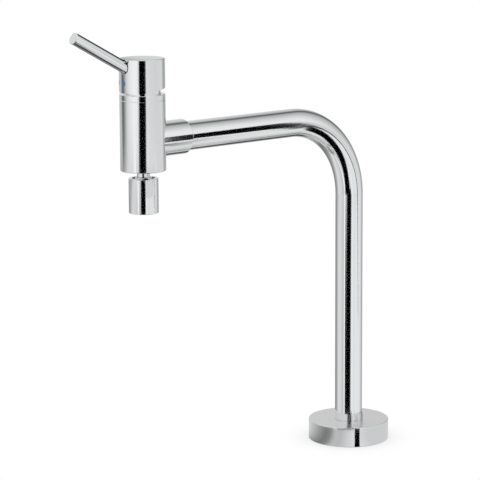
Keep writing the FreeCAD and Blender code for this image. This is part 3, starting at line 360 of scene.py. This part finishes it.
def finishes(colours):
    """Every finish of the tap, named after the real material."""
    # Polished chrome plate: nickel and chrome plated on buffed brass. It mirrors the room sharply, and the
    # buffing leaves a ripple a few tenths of a micrometre high, which only shows in the edges of what it
    # mirrors.
    metal("polished_chrome", colours.chrome, 0.012, 2.5, 0.0004, smudge=0.01)
    # Satin chrome plate: the same plating over a face that was turned and only brushed. It mirrors nothing
    # sharply.
    metal("satin_chrome", colours.satin, 0.3, 0.4, 0.002)
    # Free-cutting brass: turned bar, left bare inside the tap. It is yellow and shines softly.
    metal("turned_brass", colours.brass, 0.25, 0.3, 0.003)
    # Stainless steel: stamped, drawn and turned spring parts, wires and screws. It is grey and shines softly.
    metal("stainless_steel", colours.steel, 0.22, 0.3, 0.002)
    # Nitrile rubber: moulded seals and gasket, dull and nearly black.
    moulded("nitrile_rubber", colour("141414"), colour("1c1c1d"), 0.6, 0.25)
    # White acetal: injection moulded bushes and cartridge parts, waxy.
    moulded("white_acetal", colour("dcdad2"), colour("e8e6df"), 0.4, 0.4)
    # Black acetal: injection moulded ball seat, waxy.
    moulded("black_acetal", colour("101010"), colour("171718"), 0.35, 0.4)
    # Grey polypropylene: injection moulded aerator insert, satin.
    moulded("grey_polypropylene", colour("8b8d90"), colour("999b9e"), 0.5, 0.4)
    # Alumina ceramic: pressed, fired and lapped discs, smooth and bright.
    moulded("alumina_ceramic", colour("e6e3da"), colour("efece4"), 0.15, 0.2, 0.001)
    # Cross-linked polyethylene: extruded hose, milky.
    moulded("hose_polyethylene", colour("c4c8cb"), colour("d3d6d8"), 0.45, 0.5)
    # Blue and red enamel: fired into the two marks, glossy.
    moulded("blue_enamel", colours.dark_blue, colours.light_blue, 0.2, 0.3, 0.001)
    moulded("red_enamel", colours.dark_red, colours.light_red, 0.2, 0.3, 0.001)


FINISH_OF_SLOT = {
    "polished_chrome": "polished_chrome",
    "brass": "turned_brass",
    "stainless_steel": "stainless_steel",
    "black_rubber": "nitrile_rubber",
    "white_acetal": "white_acetal",
    "black_plastic": "black_acetal",
    "grey_plastic": "grey_polypropylene",
    "white_ceramic": "alumina_ceramic",
    "hose_plastic": "hose_polyethylene",
    "blue_mark": "blue_enamel",
    "red_mark": "red_enamel",
}
# A face whose normal rises by more than this is part of the flange's flat top.
UPWARDS = 0.999
# Points round the tube, and rings in its bend.
TUBE_TURNS = 216
BEND_RINGS = 65
# Rings of the tube at the lower and the upper edge of the stop screw's slot.
SLOT_RINGS = (5, 6)
# Corners of a wire's section.
WIRE_SIDES = 6


def flange_grid(s):
    """A turned cup: flat top with a hole, rounded upper edge and hollow underside."""
    outline = rounded([
        (s.flange_hole, s.flange_height - s.flange_top, 0),
        (s.flange_hole, s.flange_height, 0),
        (s.flange_radius, s.flange_height, 0.0005),
        (s.flange_radius, 0, 0.0005),
        (s.flange_radius - s.flange_side, 0, 0),
        (s.flange_radius - s.flange_side, s.flange_height - s.flange_top, 0),
    ], closed=True)
    return turned(outline, turns=256)


def tube_grid(s):
    """A tube up the riser, round a quarter circle and out along the arm, its outside first.

    Each ring lies square to the centre line. Its points are the centre plus the radius times the cosine
    along X and the sine along an upright that leans with the bend: it is +Y on the riser and +Z on the arm.
    """
    bend = np.linspace(0, math.pi / 2, BEND_RINGS)
    foot = s.arm_height - s.bend_radius
    stations = [(0, s.tube_foot, 0, s.tube_radius), (0, s.clip_foot, 0, s.tube_radius),
                (0, s.clip_foot, 0, s.clip_radius), (0, s.clip_top, 0, s.clip_radius),
                (0, s.clip_top, 0, s.tube_radius), (0, s.slot_foot, 0, s.tube_radius),
                (0, s.slot_top, 0, s.tube_radius)]
    stations += [(s.bend_radius * (math.cos(t) - 1), foot + s.bend_radius * math.sin(t), t, s.tube_radius)
                 for t in bend]
    stations.append((-s.tube_end, s.arm_height, math.pi / 2, s.tube_radius))
    outside = np.array(stations)
    inside = outside[::-1].copy()
    inside[:, 3] = s.tube_bore
    y, z, lean, radius = (column[:, None] for column in np.concatenate((outside, inside)).T)
    about = np.arange(TUBE_TURNS) * 2 * math.pi / TUBE_TURNS
    up = radius * np.sin(about)
    return np.stack((radius * np.cos(about), y + up * np.cos(lean), z + up * np.sin(lean)), axis=2)


def tube_window(s):
    """Rows and columns of the stop screw's slot in the tube's grid: every face that lies in it in part.

    The slot lies round the +Y side of the foot.
    """
    step = 360 / TUBE_TURNS
    degrees = np.arange(TUBE_TURNS) * 360 / TUBE_TURNS
    half = math.degrees(s.slot_half)
    return *SLOT_RINGS, np.flatnonzero((degrees > 90 - half - step) & (degrees < 90 + half))


def lever_grid(s):
    """A straight rod with a rounded tip and a spigot."""
    outline = rounded([
        (0, s.rod_seat - s.spigot_length, 0),
        (s.spigot_radius, s.rod_seat - s.spigot_length, 0),
        (s.spigot_radius, s.rod_seat, 0),
        (s.lever_radius, s.rod_seat, 0),
        (s.lever_radius, s.lever_reach, 0.0005),
        (0, s.lever_reach, 0),
    ])
    return turned(outline, turns=128)


def stud_grid(s):
    """A hollow stud about the ball's centre: threaded end, neck and ball."""
    shoulder = s.ball_drop - s.body_drop
    outer = arc_points(s.ball_radius, math.asin(s.neck_radius / s.ball_radius),
                       math.pi - math.asin(s.stud_bore / s.ball_radius), 41)
    above = rounded([
        (s.stud_bore, shoulder + s.stud_reach, 0),
        (s.stud_radius, shoulder + s.stud_reach, 0),
        (s.stud_radius, shoulder, 0),
        (s.neck_radius, shoulder, 0),
    ])
    return turned(np.concatenate((above, outer)), turns=128)


def housing_grid(s):
    """A turned sleeve about the ball's centre with an inward lip at its mouth."""
    outline = rounded([
        (s.housing_bore, -s.housing_foot, 0),
        (s.housing_radius, -s.housing_foot, 0.0006),
        (s.housing_radius, s.housing_rise, 0.0006),
        (s.housing_mouth, s.housing_rise, 0),
        (s.housing_mouth, s.housing_rise - s.housing_lip, 0),
        (s.housing_bore, s.housing_rise - s.housing_lip, 0),
    ], closed=True)
    return turned(outline)


def woven_wires(name, centre, rim, pitch, radius):
    """A round piece of plain weave, as one mesh.

    Wire number k lies at k times the pitch from the middle and runs to a rim. Its height is the radius times
    the cosine of pi times the way along it in pitches, plus k half turns, so that it goes over and under the
    wires across it. Each ring of a wire is its centre plus the radius times cosine and sine across it. The
    second set of wires is the first one turned by 90 degrees and half a wave later.
    """
    count = int((rim - radius) / pitch)
    number = np.arange(-count, count + 1)
    across = number * pitch
    half = np.sqrt(rim ** 2 - (np.abs(across) + radius) ** 2)
    share = np.linspace(-1, 1, 4 * count + 1)
    around = np.arange(WIRE_SIDES) * 2 * math.pi / WIRE_SIDES
    along = half[:, None, None] * share[None, :, None]
    height = radius * np.cos(math.pi * (along / pitch + number[:, None, None]))
    ring_y = across[:, None, None] + radius * np.cos(around)
    ring_z = height + radius * np.sin(around)
    first = np.stack(np.broadcast_arrays(along, ring_y, ring_z), axis=-1)
    second = np.stack(np.broadcast_arrays(ring_y, along, 2 * radius * np.sin(around) - ring_z), axis=-1)
    points = np.concatenate((first, second)) + np.array(centre)
    wires, rings, sides = points.shape[:3]
    here = np.arange(wires * rings * sides).reshape(wires, rings, sides)
    next_side = np.roll(here, -1, axis=2)
    quads = np.stack((here[:, :-1], next_side[:, :-1], next_side[:, 1:], here[:, 1:]), axis=-1)
    starts, stops = here[:, 0], here[:, -1]
    turned_round = wires // 2
    quads[turned_round:] = quads[turned_round:, ..., ::-1]
    starts = np.concatenate((starts[:turned_round, ::-1], starts[turned_round:]))
    stops = np.concatenate((stops[:turned_round], stops[turned_round:, ::-1]))
    ends = np.concatenate((starts, stops))
    mesh = bpy.data.meshes.new(name)
    mesh.from_pydata(points.reshape(-1, 3), [], quads.reshape(-1, 4).tolist() + ends.tolist())
    mesh.validate()
    mesh.shade_smooth()
    made = bpy.data.objects.new(name, mesh)
    bpy.context.scene.collection.objects.link(made)
    return made


# The camera's place in metres, its turn from +Y towards -X, its pitch below the level and its roll.
CAMERA_PLACE = (1.648350, -1.529475, 0.638054)
CAMERA_TURN = math.radians(50.0)
CAMERA_PITCH = math.radians(10.7912)
CAMERA_ROLL = math.radians(-0.35882)


def camera(settings):
    """The camera, turned, pitched down and rolled a little."""
    sine, cosine = math.sin(CAMERA_TURN), math.cos(CAMERA_TURN)
    forward = Vector((-sine * math.cos(CAMERA_PITCH), cosine * math.cos(CAMERA_PITCH),
                      -math.sin(CAMERA_PITCH)))
    right = Vector((cosine, sine, 0))
    up = right.cross(forward)
    rolled_right = math.cos(CAMERA_ROLL) * right + math.sin(CAMERA_ROLL) * up
    rolled_up = math.cos(CAMERA_ROLL) * up - math.sin(CAMERA_ROLL) * right
    data = bpy.data.cameras.new("studio_camera")
    data.lens = settings.lens
    data.sensor_width = 36.0
    made = bpy.data.objects.new("studio_camera", data)
    made.matrix_world = Matrix((rolled_right, rolled_up, -forward)).transposed().to_4x4()
    made.location = CAMERA_PLACE
    bpy.context.scene.collection.objects.link(made)
    bpy.context.scene.camera = made


# Greys of the studio's walls, from 0 to 255, by direction in degrees. 0 is the side of the camera, and
# positive directions lie to its right. The three rows are for light from below, from level height and from
# above.
LOW_WALLS = tones([
    (-180, 180), (-160, 116), (-145, 138), (-128, 160), (-112, 196), (-104, 222), (-80, 219), (-64, 207),
    (-56, 196), (-46, 203), (-42, 254), (-37, 254), (-33, 200), (12, 200), (20, 240), (24, 238), (40, 225),
    (56, 232), (96, 230), (112, 217), (120, 210), (128, 177), (136, 164), (152, 180), (180, 180)])
LEVEL_WALLS = tones([
    (-180, 205), (-136, 190), (-128, 190), (-121, 140), (-113, 88), (-105, 108), (-96, 150), (-88, 184),
    (-80, 212), (-72, 222), (-62, 233), (-48, 242), (-24, 245), (-16, 228), (18, 228), (24, 222), (40, 216),
    (64, 212), (88, 209), (104, 221), (118, 212), (130, 175), (138, 150), (146, 168), (180, 205)])
HIGH_WALLS = tones([
    (-180, 213), (85, 236), (100, 214), (110, 200), (128, 178), (137, 158), (145, 110), (151, 88), (158, 130),
    (166, 187), (180, 213)])
# The camera's side of the walls as a compass direction, in degrees. 0 is +X and 90 is +Y.
WALLS_FRONT = -40.0
# Height in degrees at which each further row begins, and half of the height over which it takes over.
WALL_ROWS = ((-9.1, 0.8, LEVEL_WALLS), (4.0, 5.0, HIGH_WALLS))
# The floor below the walls: the height at which it ends, half of the height over which it does, and its grey.
FLOOR_EDGE, FLOOR_SOFT, FLOOR_GREY = -74.0, 2.0, 45
# A dark patch low in the walls: its compass direction and height, half its width and height, and its grey.
PATCH_PLACE, PATCH_SIZE, PATCH_GREY = (121, -41), (18, 13), 70
# Compass directions of the slit's two edges, each at two heights, and the heights of its ends.
SLIT_LEFT, SLIT_RIGHT = [(-11, -65.2), (-6.4, -52.2)], [(-12.5, -26.8), (-6.4, -18.8)]
SLIT_FOOT, SLIT_TOP, SLIT_SOFT = -16.5, 35.5, 0.5
# The height above which the pit is closed, and its upper and lower edge as heights by compass direction.
PIT_END = -11.0
PIT_TOP = [(-77, -20), (-76, -13), (-72, 5), (-50, 5), (-41, 1), (-38, -13), (-30, -28), (-15, -34), (0, -36),
           (20, -35), (30, -31), (36, -27), (39, -24), (41, -21.5), (42, -22.5), (43.2, -26), (45.6, -31),
           (50, -37.5), (54, -42.5), (58, -48)]
PIT_FLOOR = [(-77, -10), (-76, -17), (-72, -29), (-64, -43), (-50, -56), (-41, -61), (-38, -62), (-30, -64),
             (-15, -67), (0, -69), (20, -68), (30, -65), (36, -62), (42, -60), (45, -59), (50, -57),
             (55, -52), (58, -48)]


def curve(tree, value, points, low=0.0, high=1.0):
    """A piecewise straight curve through (x, y) points: a ramp over x, its greys laid over low to high."""
    first, last = points[0][0], points[-1][0]
    share = node(tree, "ShaderNodeMapRange", {"Value": value, "From Min": first, "From Max": last})
    ramp = node(tree, "ShaderNodeValToRGB", {"Fac": share})
    stops = ramp.color_ramp.elements
    while len(stops) < len(points):
        stops.new(1.0)
    for stop, (x, y) in zip(stops, points):
        stop.position = (x - first) / (last - first)
        stop.color = ((y - low) / (high - low),) * 3 + (1.0,)
    return node(tree, "ShaderNodeMapRange", {"Value": ramp, "To Min": low, "To Max": high})


def past(tree, value, edge, soft=1.0):
    """How far a value in degrees is past an edge: 0 before it, 1 after it, softened by some degrees."""
    beyond = node(tree, "ShaderNodeMath", {0: value, 1: edge}, operation="SUBTRACT")
    return node(tree, "ShaderNodeMapRange", {"Value": beyond, "From Min": -soft, "From Max": soft})


def walls(tree, direction):
    """Level of the studio's walls in a direction: grey tones by compass and height, and one black opening.

    The opening is the dark part of the room behind the camera: an upright slit whose edges lean a little, and
    below it a pit that narrows towards both sides. Each is the product of how far it lies inside every edge.
    """
    along = node(tree, "ShaderNodeSeparateXYZ", {0: direction}).outputs
    turn = node(tree, "ShaderNodeMath", {0: along["Y"], 1: along["X"]}, operation="ARCTAN2")
    compass = node(tree, "ShaderNodeMath", {0: turn}, operation="DEGREES")
    turned_on = node(tree, "ShaderNodeMath", {0: compass, 1: WALLS_FRONT}, operation="SUBTRACT")
    side = node(tree, "ShaderNodeMath", {0: turned_on, 1: 180.0, 2: -180.0}, operation="WRAP")
    rise = node(tree, "ShaderNodeMath", {0: along["Z"]}, operation="ARCSINE")
    height = node(tree, "ShaderNodeMath", {0: rise}, operation="DEGREES")
    level = curve(tree, side, LOW_WALLS)
    for edge, soft, row in WALL_ROWS:
        level = node(tree, "ShaderNodeMix", {
            "Factor": past(tree, height, edge, soft), "A": level, "B": curve(tree, side, row)})
    level = node(tree, "ShaderNodeMix", {
        "Factor": past(tree, height, FLOOR_EDGE, FLOOR_SOFT), "A": linear(FLOOR_GREY / 255), "B": level})
    (across, up), (wide, high) = PATCH_PLACE, PATCH_SIZE
    offset = node(tree, "ShaderNodeVectorMath", {
        0: node(tree, "ShaderNodeCombineXYZ", {"X": compass, "Y": height}), 1: (1 / wide, 1 / high, 0),
        2: (-across / wide, -up / high, 0)}, operation="MULTIPLY_ADD")
    away = node(tree, "ShaderNodeVectorMath", {0: offset}, operation="LENGTH").outputs["Value"]
    level = node(tree, "ShaderNodeMix", {
        "Factor": node(tree, "ShaderNodeMapRange", {"Value": away, "From Min": 1.0, "From Max": 0.5}),
        "A": level, "B": linear(PATCH_GREY / 255)})
    slit = (past(tree, compass, curve(tree, height, SLIT_LEFT, -90, 90)),
            past(tree, curve(tree, height, SLIT_RIGHT, -90, 90), compass),
            past(tree, height, SLIT_FOOT, SLIT_SOFT),
            past(tree, SLIT_TOP, height, SLIT_SOFT))
    pit = (past(tree, curve(tree, compass, PIT_TOP, -90, 90), height),
           past(tree, height, curve(tree, compass, PIT_FLOOR, -90, 90)),
           past(tree, PIT_END, height))
    parts = []
    for inside, *others in (slit, pit):
        for share in others:
            inside = node(tree, "ShaderNodeMath", {0: inside, 1: share}, operation="MULTIPLY")
        parts.append(inside)
    opening = node(tree, "ShaderNodeMath", {0: parts[0], 1: parts[1]}, operation="MAXIMUM")
    closed = node(tree, "ShaderNodeMath", {0: 1.0, 1: opening}, operation="SUBTRACT")
    return node(tree, "ShaderNodeMath", {0: level, 1: closed}, operation="MULTIPLY")


def studio_world(settings):
    """The studio as the world: white for the camera, plain light on matt surfaces, and walls for mirrors."""
    world = bpy.data.worlds.new("studio_world")
    bpy.context.scene.world = world
    # Only the rays themselves find the world's light, which keeps stray specks out of sharp reflections.
    world.cycles.sampling_method = "NONE"
    world.use_nodes = True
    tree = world.node_tree
    tree.nodes.clear()
    direction = node(tree, "ShaderNodeTexCoord").outputs["Generated"]
    level = node(tree, "ShaderNodeMath", {0: walls(tree, direction), 1: settings.wall_level},
                 operation="MULTIPLY")
    mirrored = node(tree, "ShaderNodeBackground", {"Color": (1, 1, 1, 1), "Strength": level})
    plain = node(tree, "ShaderNodeBackground", {"Color": (1, 1, 1, 1), "Strength": settings.plain_level})
    backdrop = node(tree, "ShaderNodeBackground", {"Color": (1, 1, 1, 1), "Strength": 1.0})
    path = node(tree, "ShaderNodeLightPath").outputs
    matt = node(tree, "ShaderNodeMixShader", {0: path["Is Glossy Ray"], 1: plain, 2: mirrored})
    seen = node(tree, "ShaderNodeMixShader", {0: path["Is Camera Ray"], 1: matt, 2: backdrop})
    node(tree, "ShaderNodeOutputWorld", {"Surface": seen})


def staged(name, points, faces, material):
    """A flat piece of the stage, from points in metres."""
    mesh = bpy.data.meshes.new(name)
    mesh.from_pydata(points, [], faces)
    mesh.materials.append(bpy.data.materials[material])
    made = bpy.data.objects.new(name, mesh)
    bpy.context.scene.collection.objects.link(made)
    return made


def only_mirrored(thing):
    """Hides a piece of the stage from all but glossy rays."""
    for rays in ("camera", "diffuse", "transmission", "volume_scatter", "shadow"):
        setattr(thing, f"visible_{rays}", False)


def card(name, grey, points, level):
    """A card that only mirrors see, glowing evenly at a grey from 0 to 255: a painted reflection in the
    chrome. Its points are in millimetres.
    """
    material = f"coated_board_{grey}"
    if material not in bpy.data.materials:
        # Painted reflection: a card that glows evenly at its grey, black at grey 0, and that only the chrome
        # sees.
        tree, output = new_material(material)
        light = node(tree, "ShaderNodeEmission", {"Strength": level * linear(grey / 255)})
        tree.links.new(light.outputs[0], output.inputs["Surface"])
    only_mirrored(staged(name, (np.array(points) / 1000).tolist(), [list(range(len(points)))], material))


# Compass direction in which the arm's side mirrors the room for the camera.
MIRRORED_WAY = math.radians(40)


def facing(along, across, height):
    """A point given along the direction that the arm mirrors, across it, and up."""
    sine, cosine = math.sin(MIRRORED_WAY), math.cos(MIRRORED_WAY)
    return (along * cosine - across * sine, along * sine + across * cosine, height)


def wedge(directions, far_directions, radius, reach, height):
    """Corners of a wedge on the flange's edge, whose two sides run outwards in directions of their own."""
    near = [(radius * math.cos(a), radius * math.sin(a)) for a in np.radians(directions).tolist()]
    far = [(x + reach * math.cos(a), y + reach * math.sin(a))
           for (x, y), a in zip(near, np.radians(far_directions).tolist())]
    return [(x, y, height) for x, y in (near[0], far[0], far[1], near[1])]


# Outline of the black card that paints the dark reflected stripe on the arm and its collar: across and height
# in millimetres.
ARM_CARD = [(-242, 455), (-70, 455), (-66, 365), (-54, 300), (-49, 272), (-41, 215), (-25, 165), (3, 88),
            (24, 40), (8, 40), (-16, 88), (-36, 125), (-61, 175), (-76, 200), (-242, 200)]
# Cards near the tap that paint reflections in the chrome, with their greys from 0 to 255 and their corners in
# millimetres: a black one for the arm, a pale one that keeps it from the body, a pale one under the lever and
# a dark one behind it, and a black wedge beside the flange.
CARDS = (
    ("arm_card", 0, [facing(400, across, height) for across, height in ARM_CARD]),
    ("body_card", 214, [facing(-135, -204, 285), facing(400, -228, 225), facing(400, -228, 480),
                        facing(-135, -204, 480)]),
    ("lever_card", 213, [(45, -286, 280), (139, -320, 280), (139, -345, 280), (240, -345, 280),
                         (240, -190, 280), (45, -190, 280)]),
    ("lever_back_card", 60, [(-190, -190, 434), (12, -190, 434), (12, -190, 530), (-190, -190, 530)]),
    ("flange_card", 0, wedge((-34.0, -26.4), (-24.6, -10.6), radius=41.4, reach=80.0, height=0.4)),
)
# Greys of the painted reflection round the flange, by direction from the riser's axis in degrees.
FLANGE_BOARD = tones([
    (-180, 205), (-160, 208), (-136, 186), (-112, 148), (-96, 121), (-84, 135), (-78, 165), (-70, 190),
    (-60, 185), (-45, 209), (-30, 225), (0, 205), (90, 207), (180, 205)])
# Inner and outer radius of that board and its height above the deck, in metres.
BOARD_INSIDE, BOARD_OUTSIDE, BOARD_HEIGHT = 0.0416, 0.110, 0.0002
# Half the side of the deck, in metres.
DECK_REACH = 3.0


def flange_board(level):
    """The board round the flange: a flat glowing ring whose grey changes with the direction from the riser's
    axis, a painted reflection in the flange.
    """
    # Painted reflection: a ring that glows with a soft run of greys, which only the flange and the other
    # chrome see.
    tree, output = new_material("shaded_board")
    place = node(tree, "ShaderNodeTexCoord").outputs["Object"]
    along = node(tree, "ShaderNodeSeparateXYZ", {0: place}).outputs
    turn = node(tree, "ShaderNodeMath", {0: along["Y"], 1: along["X"]}, operation="ARCTAN2")
    compass = node(tree, "ShaderNodeMath", {0: turn}, operation="DEGREES")
    tone = curve(tree, compass, FLANGE_BOARD)
    grey = node(tree, "ShaderNodeMath", {0: tone, 1: level}, operation="MULTIPLY")
    light = node(tree, "ShaderNodeEmission", {"Strength": grey})
    tree.links.new(light.outputs[0], output.inputs["Surface"])
    ring = turned(np.array([(BOARD_INSIDE, BOARD_HEIGHT), (BOARD_OUTSIDE, BOARD_HEIGHT)]), turns=120)
    inner = np.arange(ring.shape[1])
    outer = inner + len(inner)
    faces = np.column_stack((inner, outer, np.roll(outer, -1), np.roll(inner, -1)))
    only_mirrored(staged("flange_board", ring.reshape(-1, 3).tolist(), faces.tolist(), "shaded_board"))


def deck():
    """The pale deck: white where the camera sees it, with a painted shadow that makes it softly darker where
    the tap keeps light from it.
    """
    # Matt white laminate: melamine film pressed on board. It shows a dull, nearly even white.
    tree, output = new_material("white_laminate")
    place = node(tree, "ShaderNodeTexCoord").outputs["Object"]
    cloud = node(tree, "ShaderNodeTexNoise", {"Vector": place, "Scale": 3.0, "Detail": 2.0})
    # Painted shadow: the camera sees an emitted white that an ambient occlusion factor darkens to four fifths
    # where the tap stands close.
    near = node(tree, "ShaderNodeAmbientOcclusion", {"Distance": 0.05}, samples=24)
    shade = node(tree, "ShaderNodeMapRange", {"Value": near.outputs["AO"], "From Min": 0.35, "From Max": 0.95,
                                              "To Min": 0.8, "To Max": 1.0})
    white = node(tree, "ShaderNodeEmission", {"Color": (1, 1, 1, 1), "Strength": shade})
    tint = node(tree, "ShaderNodeMix", {"Factor": cloud, "A": colour("e6e6e5"), "B": colour("ededec")},
                data_type="RGBA")
    matt = node(tree, "ShaderNodeBsdfDiffuse", {"Color": tint.outputs["Result"]})
    path = node(tree, "ShaderNodeLightPath").outputs
    both = node(tree, "ShaderNodeMixShader", {0: path["Is Camera Ray"], 1: matt, 2: white})
    tree.links.new(both.outputs[0], output.inputs["Surface"])
    corners = [(x * DECK_REACH, y * DECK_REACH, 0) for x, y in ((-1, -1), (1, -1), (1, 1), (-1, 1))]
    staged("deck", corners, [(0, 1, 2, 3)], "white_laminate").visible_glossy = False


class TAP_OT_finishes(bpy.types.Operator):
    """Make the finishes and give them to the pieces of the construction model"""

    bl_idname = "tap.finishes"
    bl_label = "Finishes"

    def execute(self, context):
        finishes(context.scene.tap_colours)
        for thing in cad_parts.values():
            for place in thing.material_slots:
                name = place.material.name.split(".")[0]
                place.material = bpy.data.materials[FINISH_OF_SLOT[name]]
        return {"FINISHED"}


class TAP_OT_foot(bpy.types.Operator):
    """Build the base flange"""

    bl_idname = "tap.foot"
    bl_label = "Foot"

    def execute(self, context):
        flange = skin("flange", flange_grid(context.scene.tap_sizes), closed=True)
        fitted(flange, "base", "polished_chrome", "base_flange")
        # The flat top is brushed, and the rest is polished.
        flange.data.materials.append(bpy.data.materials["satin_chrome"])
        for face in flange.data.polygons:
            face.material_index = int(face.normal.z > UPWARDS)
        return {"FINISHED"}


class TAP_OT_spout(bpy.types.Operator):
    """Build the spout tube"""

    bl_idname = "tap.spout"
    bl_label = "Spout"

    def execute(self, context):
        sizes = context.scene.tap_sizes
        tube = skin("tube", tube_grid(sizes), closed=True, window=tube_window(sizes))
        fitted(tube, "spout", "polished_chrome", "spout_tube")
        return {"FINISHED"}


class TAP_OT_handle(bpy.types.Operator):
    """Build the lever rod"""

    bl_idname = "tap.handle"
    bl_label = "Handle"

    def execute(self, context):
        sizes = context.scene.tap_sizes
        start = (0, -sizes.reach, sizes.arm_height + sizes.lever_rise)
        slope = (0, -math.cos(sizes.lever_slope), math.sin(sizes.lever_slope))
        fitted(skin("rod", placed(lever_grid(sizes), start, slope)), "handle", "polished_chrome", "lever_rod")
        return {"FINISHED"}


class TAP_OT_outlet(bpy.types.Operator):
    """Build the ball stud, the aerator housing and the woven outlet mesh"""

    bl_idname = "tap.outlet"
    bl_label = "Outlet"

    def execute(self, context):
        sizes = context.scene.tap_sizes
        ball = (0, -sizes.reach, sizes.arm_height - sizes.ball_drop)
        for name, grid, body, stands_for in (("stud", stud_grid(sizes), "spout", "ball_stud"),
                                             ("housing", housing_grid(sizes), "aerator", "aerator_housing")):
            fitted(skin(name, placed(grid, ball), closed=True), body, "polished_chrome", stands_for)
        low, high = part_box("outlet_mesh")
        weave = woven_wires("outlet_weave", (low + high) / 2, (high.x - low.x) / 2, sizes.wire_pitch,
                            sizes.wire_radius)
        fitted(weave, "aerator", "stainless_steel", "outlet_mesh")
        return {"FINISHED"}


class TAP_OT_studio(bpy.types.Operator):
    """Set up the deck, the light and the camera"""

    bl_idname = "tap.studio"
    bl_label = "Studio"

    def execute(self, context):
        settings = context.scene.tap_studio
        studio_world(settings)
        for name, grey, points in CARDS:
            card(name, grey, points, settings.wall_level)
        flange_board(settings.wall_level)
        deck()
        camera(settings)
        context.scene.view_settings.view_transform = "Standard"
        return {"FINISHED"}


class TAP_PT_panel(bpy.types.Panel):
    """Sizes and build steps of the tap"""

    bl_label = "Basin mixer tap"
    bl_idname = "TAP_PT_panel"
    bl_space_type = "VIEW_3D"
    bl_region_type = "UI"
    bl_category = "Tap"

    def draw(self, context):
        column = self.layout.column(align=True)
        for step in STEPS:
            column.operator(step.bl_idname)
        for group in (context.scene.tap_sizes, context.scene.tap_colours, context.scene.tap_studio):
            box = self.layout.box()
            for name in group.bl_rna.properties.keys():
                if name not in ("rna_type", "name"):
                    box.prop(group, name)


STEPS = (TAP_OT_finishes, TAP_OT_foot, TAP_OT_spout, TAP_OT_handle, TAP_OT_outlet, TAP_OT_studio)
CLASSES = (TapSizes, TapColours, StudioSettings, *STEPS, TAP_PT_panel)


def register():
    for each in CLASSES:
        bpy.utils.register_class(each)
    bpy.types.Scene.tap_sizes = PointerProperty(type=TapSizes)
    bpy.types.Scene.tap_colours = PointerProperty(type=TapColours)
    bpy.types.Scene.tap_studio = PointerProperty(type=StudioSettings)


def unregister():
    del bpy.types.Scene.tap_studio
    del bpy.types.Scene.tap_colours
    del bpy.types.Scene.tap_sizes
    for each in reversed(CLASSES):
        bpy.utils.unregister_class(each)


def main():
    """Builds everything in order."""
    register()
    for step in STEPS:
        group, name = step.bl_idname.split(".")
        if getattr(getattr(bpy.ops, group), name)() != {"FINISHED"}:
            raise RuntimeError(f"{step.bl_label} did not finish")


if __name__ == "__main__":
    main()
